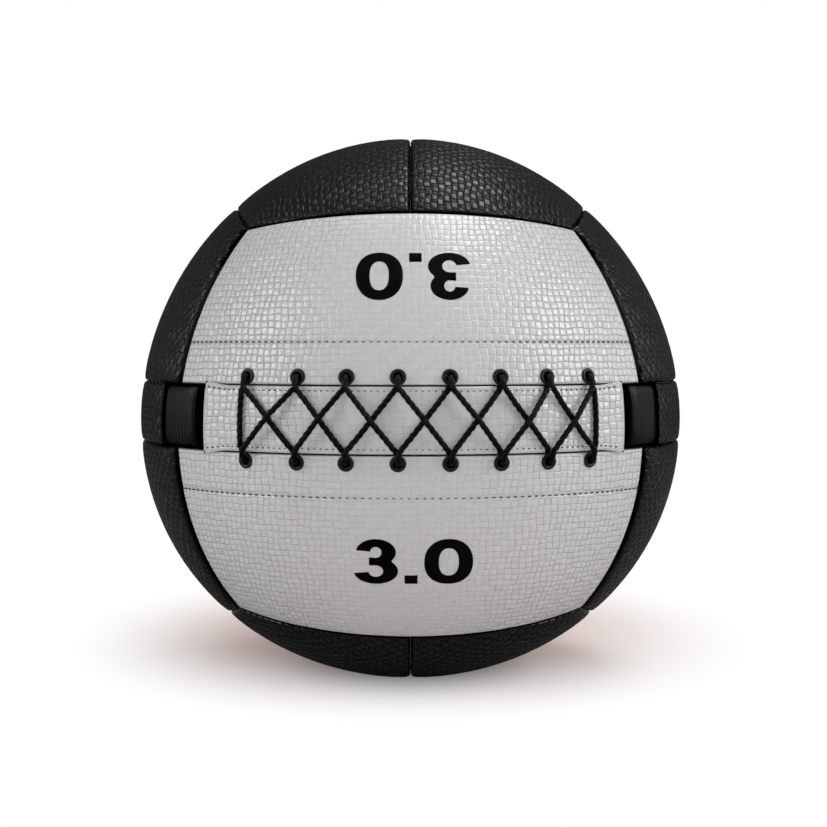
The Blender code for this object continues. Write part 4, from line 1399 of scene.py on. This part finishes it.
def buildMarks():
    bm, wide = flatNumbers()
    for half, row in halves:
        name = half + "_number"
        mesh = bpy.data.meshes.new(name)
        bm.to_mesh(mesh)
        flat = np.zeros(len(mesh.vertices) * 3)
        mesh.vertices.foreach_get("co", flat)
        flat = flat.reshape(-1, 3)
        x, y = -row * (flat[:, 0] - wide / 2), -row * (flat[:, 1] - marks["tall"] / 2)
        elevation = (row * marks["away"] + y) / ball["radius"]
        ways = wayTo(marks["azimuth"] + x / ball["radius"] / np.cos(elevation), elevation)
        mesh.vertices.foreach_set("co", onBall(ways, marks["level"]).astype(np.float32).ravel())
        mesh.update()
        if sum(face.normal.dot(face.center - Vector(ball["centre"])) for face in mesh.polygons) < 0:
            mesh.flip_normals()
        mesh.polygons.foreach_set("use_smooth", np.ones(len(mesh.polygons), bool))
        mesh.materials.append(paints["printBlack"])
        piece = placed(name, mesh)
        wall = piece.modifiers.new("ink", "SOLIDIFY")
        wall.thickness, wall.offset = marks["thick"], -1
        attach(piece, "root")
    bm.free()


buildMarks()
print("numbers made")


# stage, light and camera

photo = dict(size=827, focal=1593.0, distance=1.05, elevation=2.3, ballPixel=(410.5, 408.0), sensor=36.0)


def turnTo(thing, target):
    thing.rotation_euler = (Vector(target) - thing.location).to_track_quat("-Z", "Y").to_euler()


def buildCamera():
    # the ball's middle falls on its pixel of the photograph
    camera = placed("camera", bpy.data.cameras.new("camera"))
    camera.data.sensor_width = photo["sensor"]
    camera.data.lens = photo["focal"] * photo["sensor"] / photo["size"]
    camera.data.clip_start, camera.data.clip_end = 0.02, 60.0
    up = degreesTo(180, 90 - photo["elevation"])
    right, down = (photo["size"] / 2 - np.array(photo["ballPixel"])) * photo["distance"] / photo["focal"]
    camera.location = Vector(ball["centre"] + degreesTo(0, photo["elevation"]) * photo["distance"])
    turnTo(camera, ball["centre"] + np.array([1.0, 0, 0]) * right - up * down)
    bpy.context.scene.camera = camera


lights = dict(
    front=dict(place=(0.0, -2.6, 0.4), size=(0.8, 0.7), power=7.9, glossy=False),
    low=dict(place=(0.0, -2.4, 0.16), size=(1.2, 0.25), power=7.4, glossy=False),
    left=dict(place=(-1.64, -0.66, 1.0), size=(0.9, 1.3), power=15.6, glossy=True),
    right=dict(place=(1.66, -0.6, 1.05), size=(0.9, 1.3), power=19.8, glossy=True),
    leftRim=dict(place=(-1.6, 0.58, 0.35), size=(0.3, 0.9), power=0.9, glossy=True),
    rightRim=dict(place=(1.6, 0.58, 0.45), size=(0.35, 1.0), power=1.6, glossy=True),
    top=dict(place=(0.46, 0.12, 1.9), size=(1.3, 0.55), power=13.0, glossy=True),
    topLeft=dict(place=(-0.36, 0.16, 1.9), size=(0.6, 0.5), power=1.6, glossy=True),
    back=dict(place=(0.0, 2.4, 0.9), size=(1.6, 1.0), power=3.5, glossy=False),
)


def buildLights():
    for name, light in lights.items():
        data = bpy.data.lights.new(name, "AREA")
        data.shape = "RECTANGLE"
        data.size, data.size_y = light["size"]
        data.energy = light["power"]
        lamp = placed(name, data)
        lamp.location = Vector(light["place"])
        lamp.visible_glossy = light["glossy"]
        turnTo(lamp, ball["centre"])


# near the ball the floor's glow has the tint of a painted shadow and fades to black at the contact, a painted
# contact shadow; in reflections the paper is darkened by a share, painted shade
studio = dict(
    ambient=0.055, paintedShadowGlow=(0.145, 0.07, 0.055), clearFrom=0.1, clearTo=0.26, shadowMiddle=0.16,
    shadowLength=0.82, mirrored=0.72, contactShadowReach=0.16, paper=(0.80, 0.75, 0.735),
    paperOther=(0.785, 0.735, 0.72), blotchSize=3.0, radius=30.0, sides=64,
)
black, white = (0.0, 0.0, 0.0), (1.0, 1.0, 1.0)


def buildWorld():
    # the studio is dim round the ball, and its wall is seen as white
    world = bpy.data.worlds.new("studio")
    bpy.context.scene.world = world
    world.use_nodes = True
    tree = world.node_tree
    seen = Wire(tree, newNode(tree, "LightPath").outputs["Is Camera Ray"])
    strength = seen * (1 - studio["ambient"]) + studio["ambient"]
    feed(tree.nodes["Background"], Color=(*white, 1.0), Strength=strength)


def buildFloor():
    # A round sheet of paper, a ring of points closed in the middle. Near the ball it takes soft shadows;
    # further out its glow rises to the white of the wall, by a smooth step over the distance.
    ring = circle(studio["sides"])
    rim = np.stack([np.sin(ring), -np.cos(ring), 0 * ring], -1) * studio["radius"]
    index = np.arange(studio["sides"])
    faces = np.stack([0 * index, 1 + index, 1 + np.roll(index, -1)], -1)
    made, tree, shader = newMaterial("floorPaper", Roughness=0.9, Specular_IOR_Level=0.0)
    x, y, _ = splitVector(placeOf(tree))
    near = (x * x + y * y) ** 0.5
    y = (y - studio["shadowMiddle"]) * studio["shadowLength"]
    clear = smoothBetween((x * x + y * y) ** 0.5, studio["clearFrom"], studio["clearTo"])
    path = newNode(tree, "LightPath")
    seen, mirrored = [Wire(tree, path.outputs[label]) for label in ("Is Camera Ray", "Is Glossy Ray")]
    paper = mixColours(grimeOf(tree, studio["blotchSize"])[0], studio["paper"], studio["paperOther"])
    # painted shadow: the glow's warm tint near the ball, going to black at the contact
    glow = mixColours(smoothBetween(near, 0.0, studio["contactShadowReach"]), black, studio["paintedShadowGlow"])
    # in reflections the paper is darkened by a share: painted shade in what the ball mirrors
    feed(
        shader, Base_Color=mixColours(clear * seen + mirrored * studio["mirrored"], paper, black),
        Emission_Color=mixColours(clear, glow, white), Emission_Strength=seen,
    )
    mesh = bpy.data.meshes.new("floor")
    mesh.from_pydata([[0, 0, 0], *rim.tolist()], [], faces.tolist())
    mesh.materials.append(made)
    placed("floor", mesh)


buildCamera()
buildLights()
buildWorld()
buildFloor()
bpy.context.scene.view_settings.view_transform = "Standard"
print("stage made")
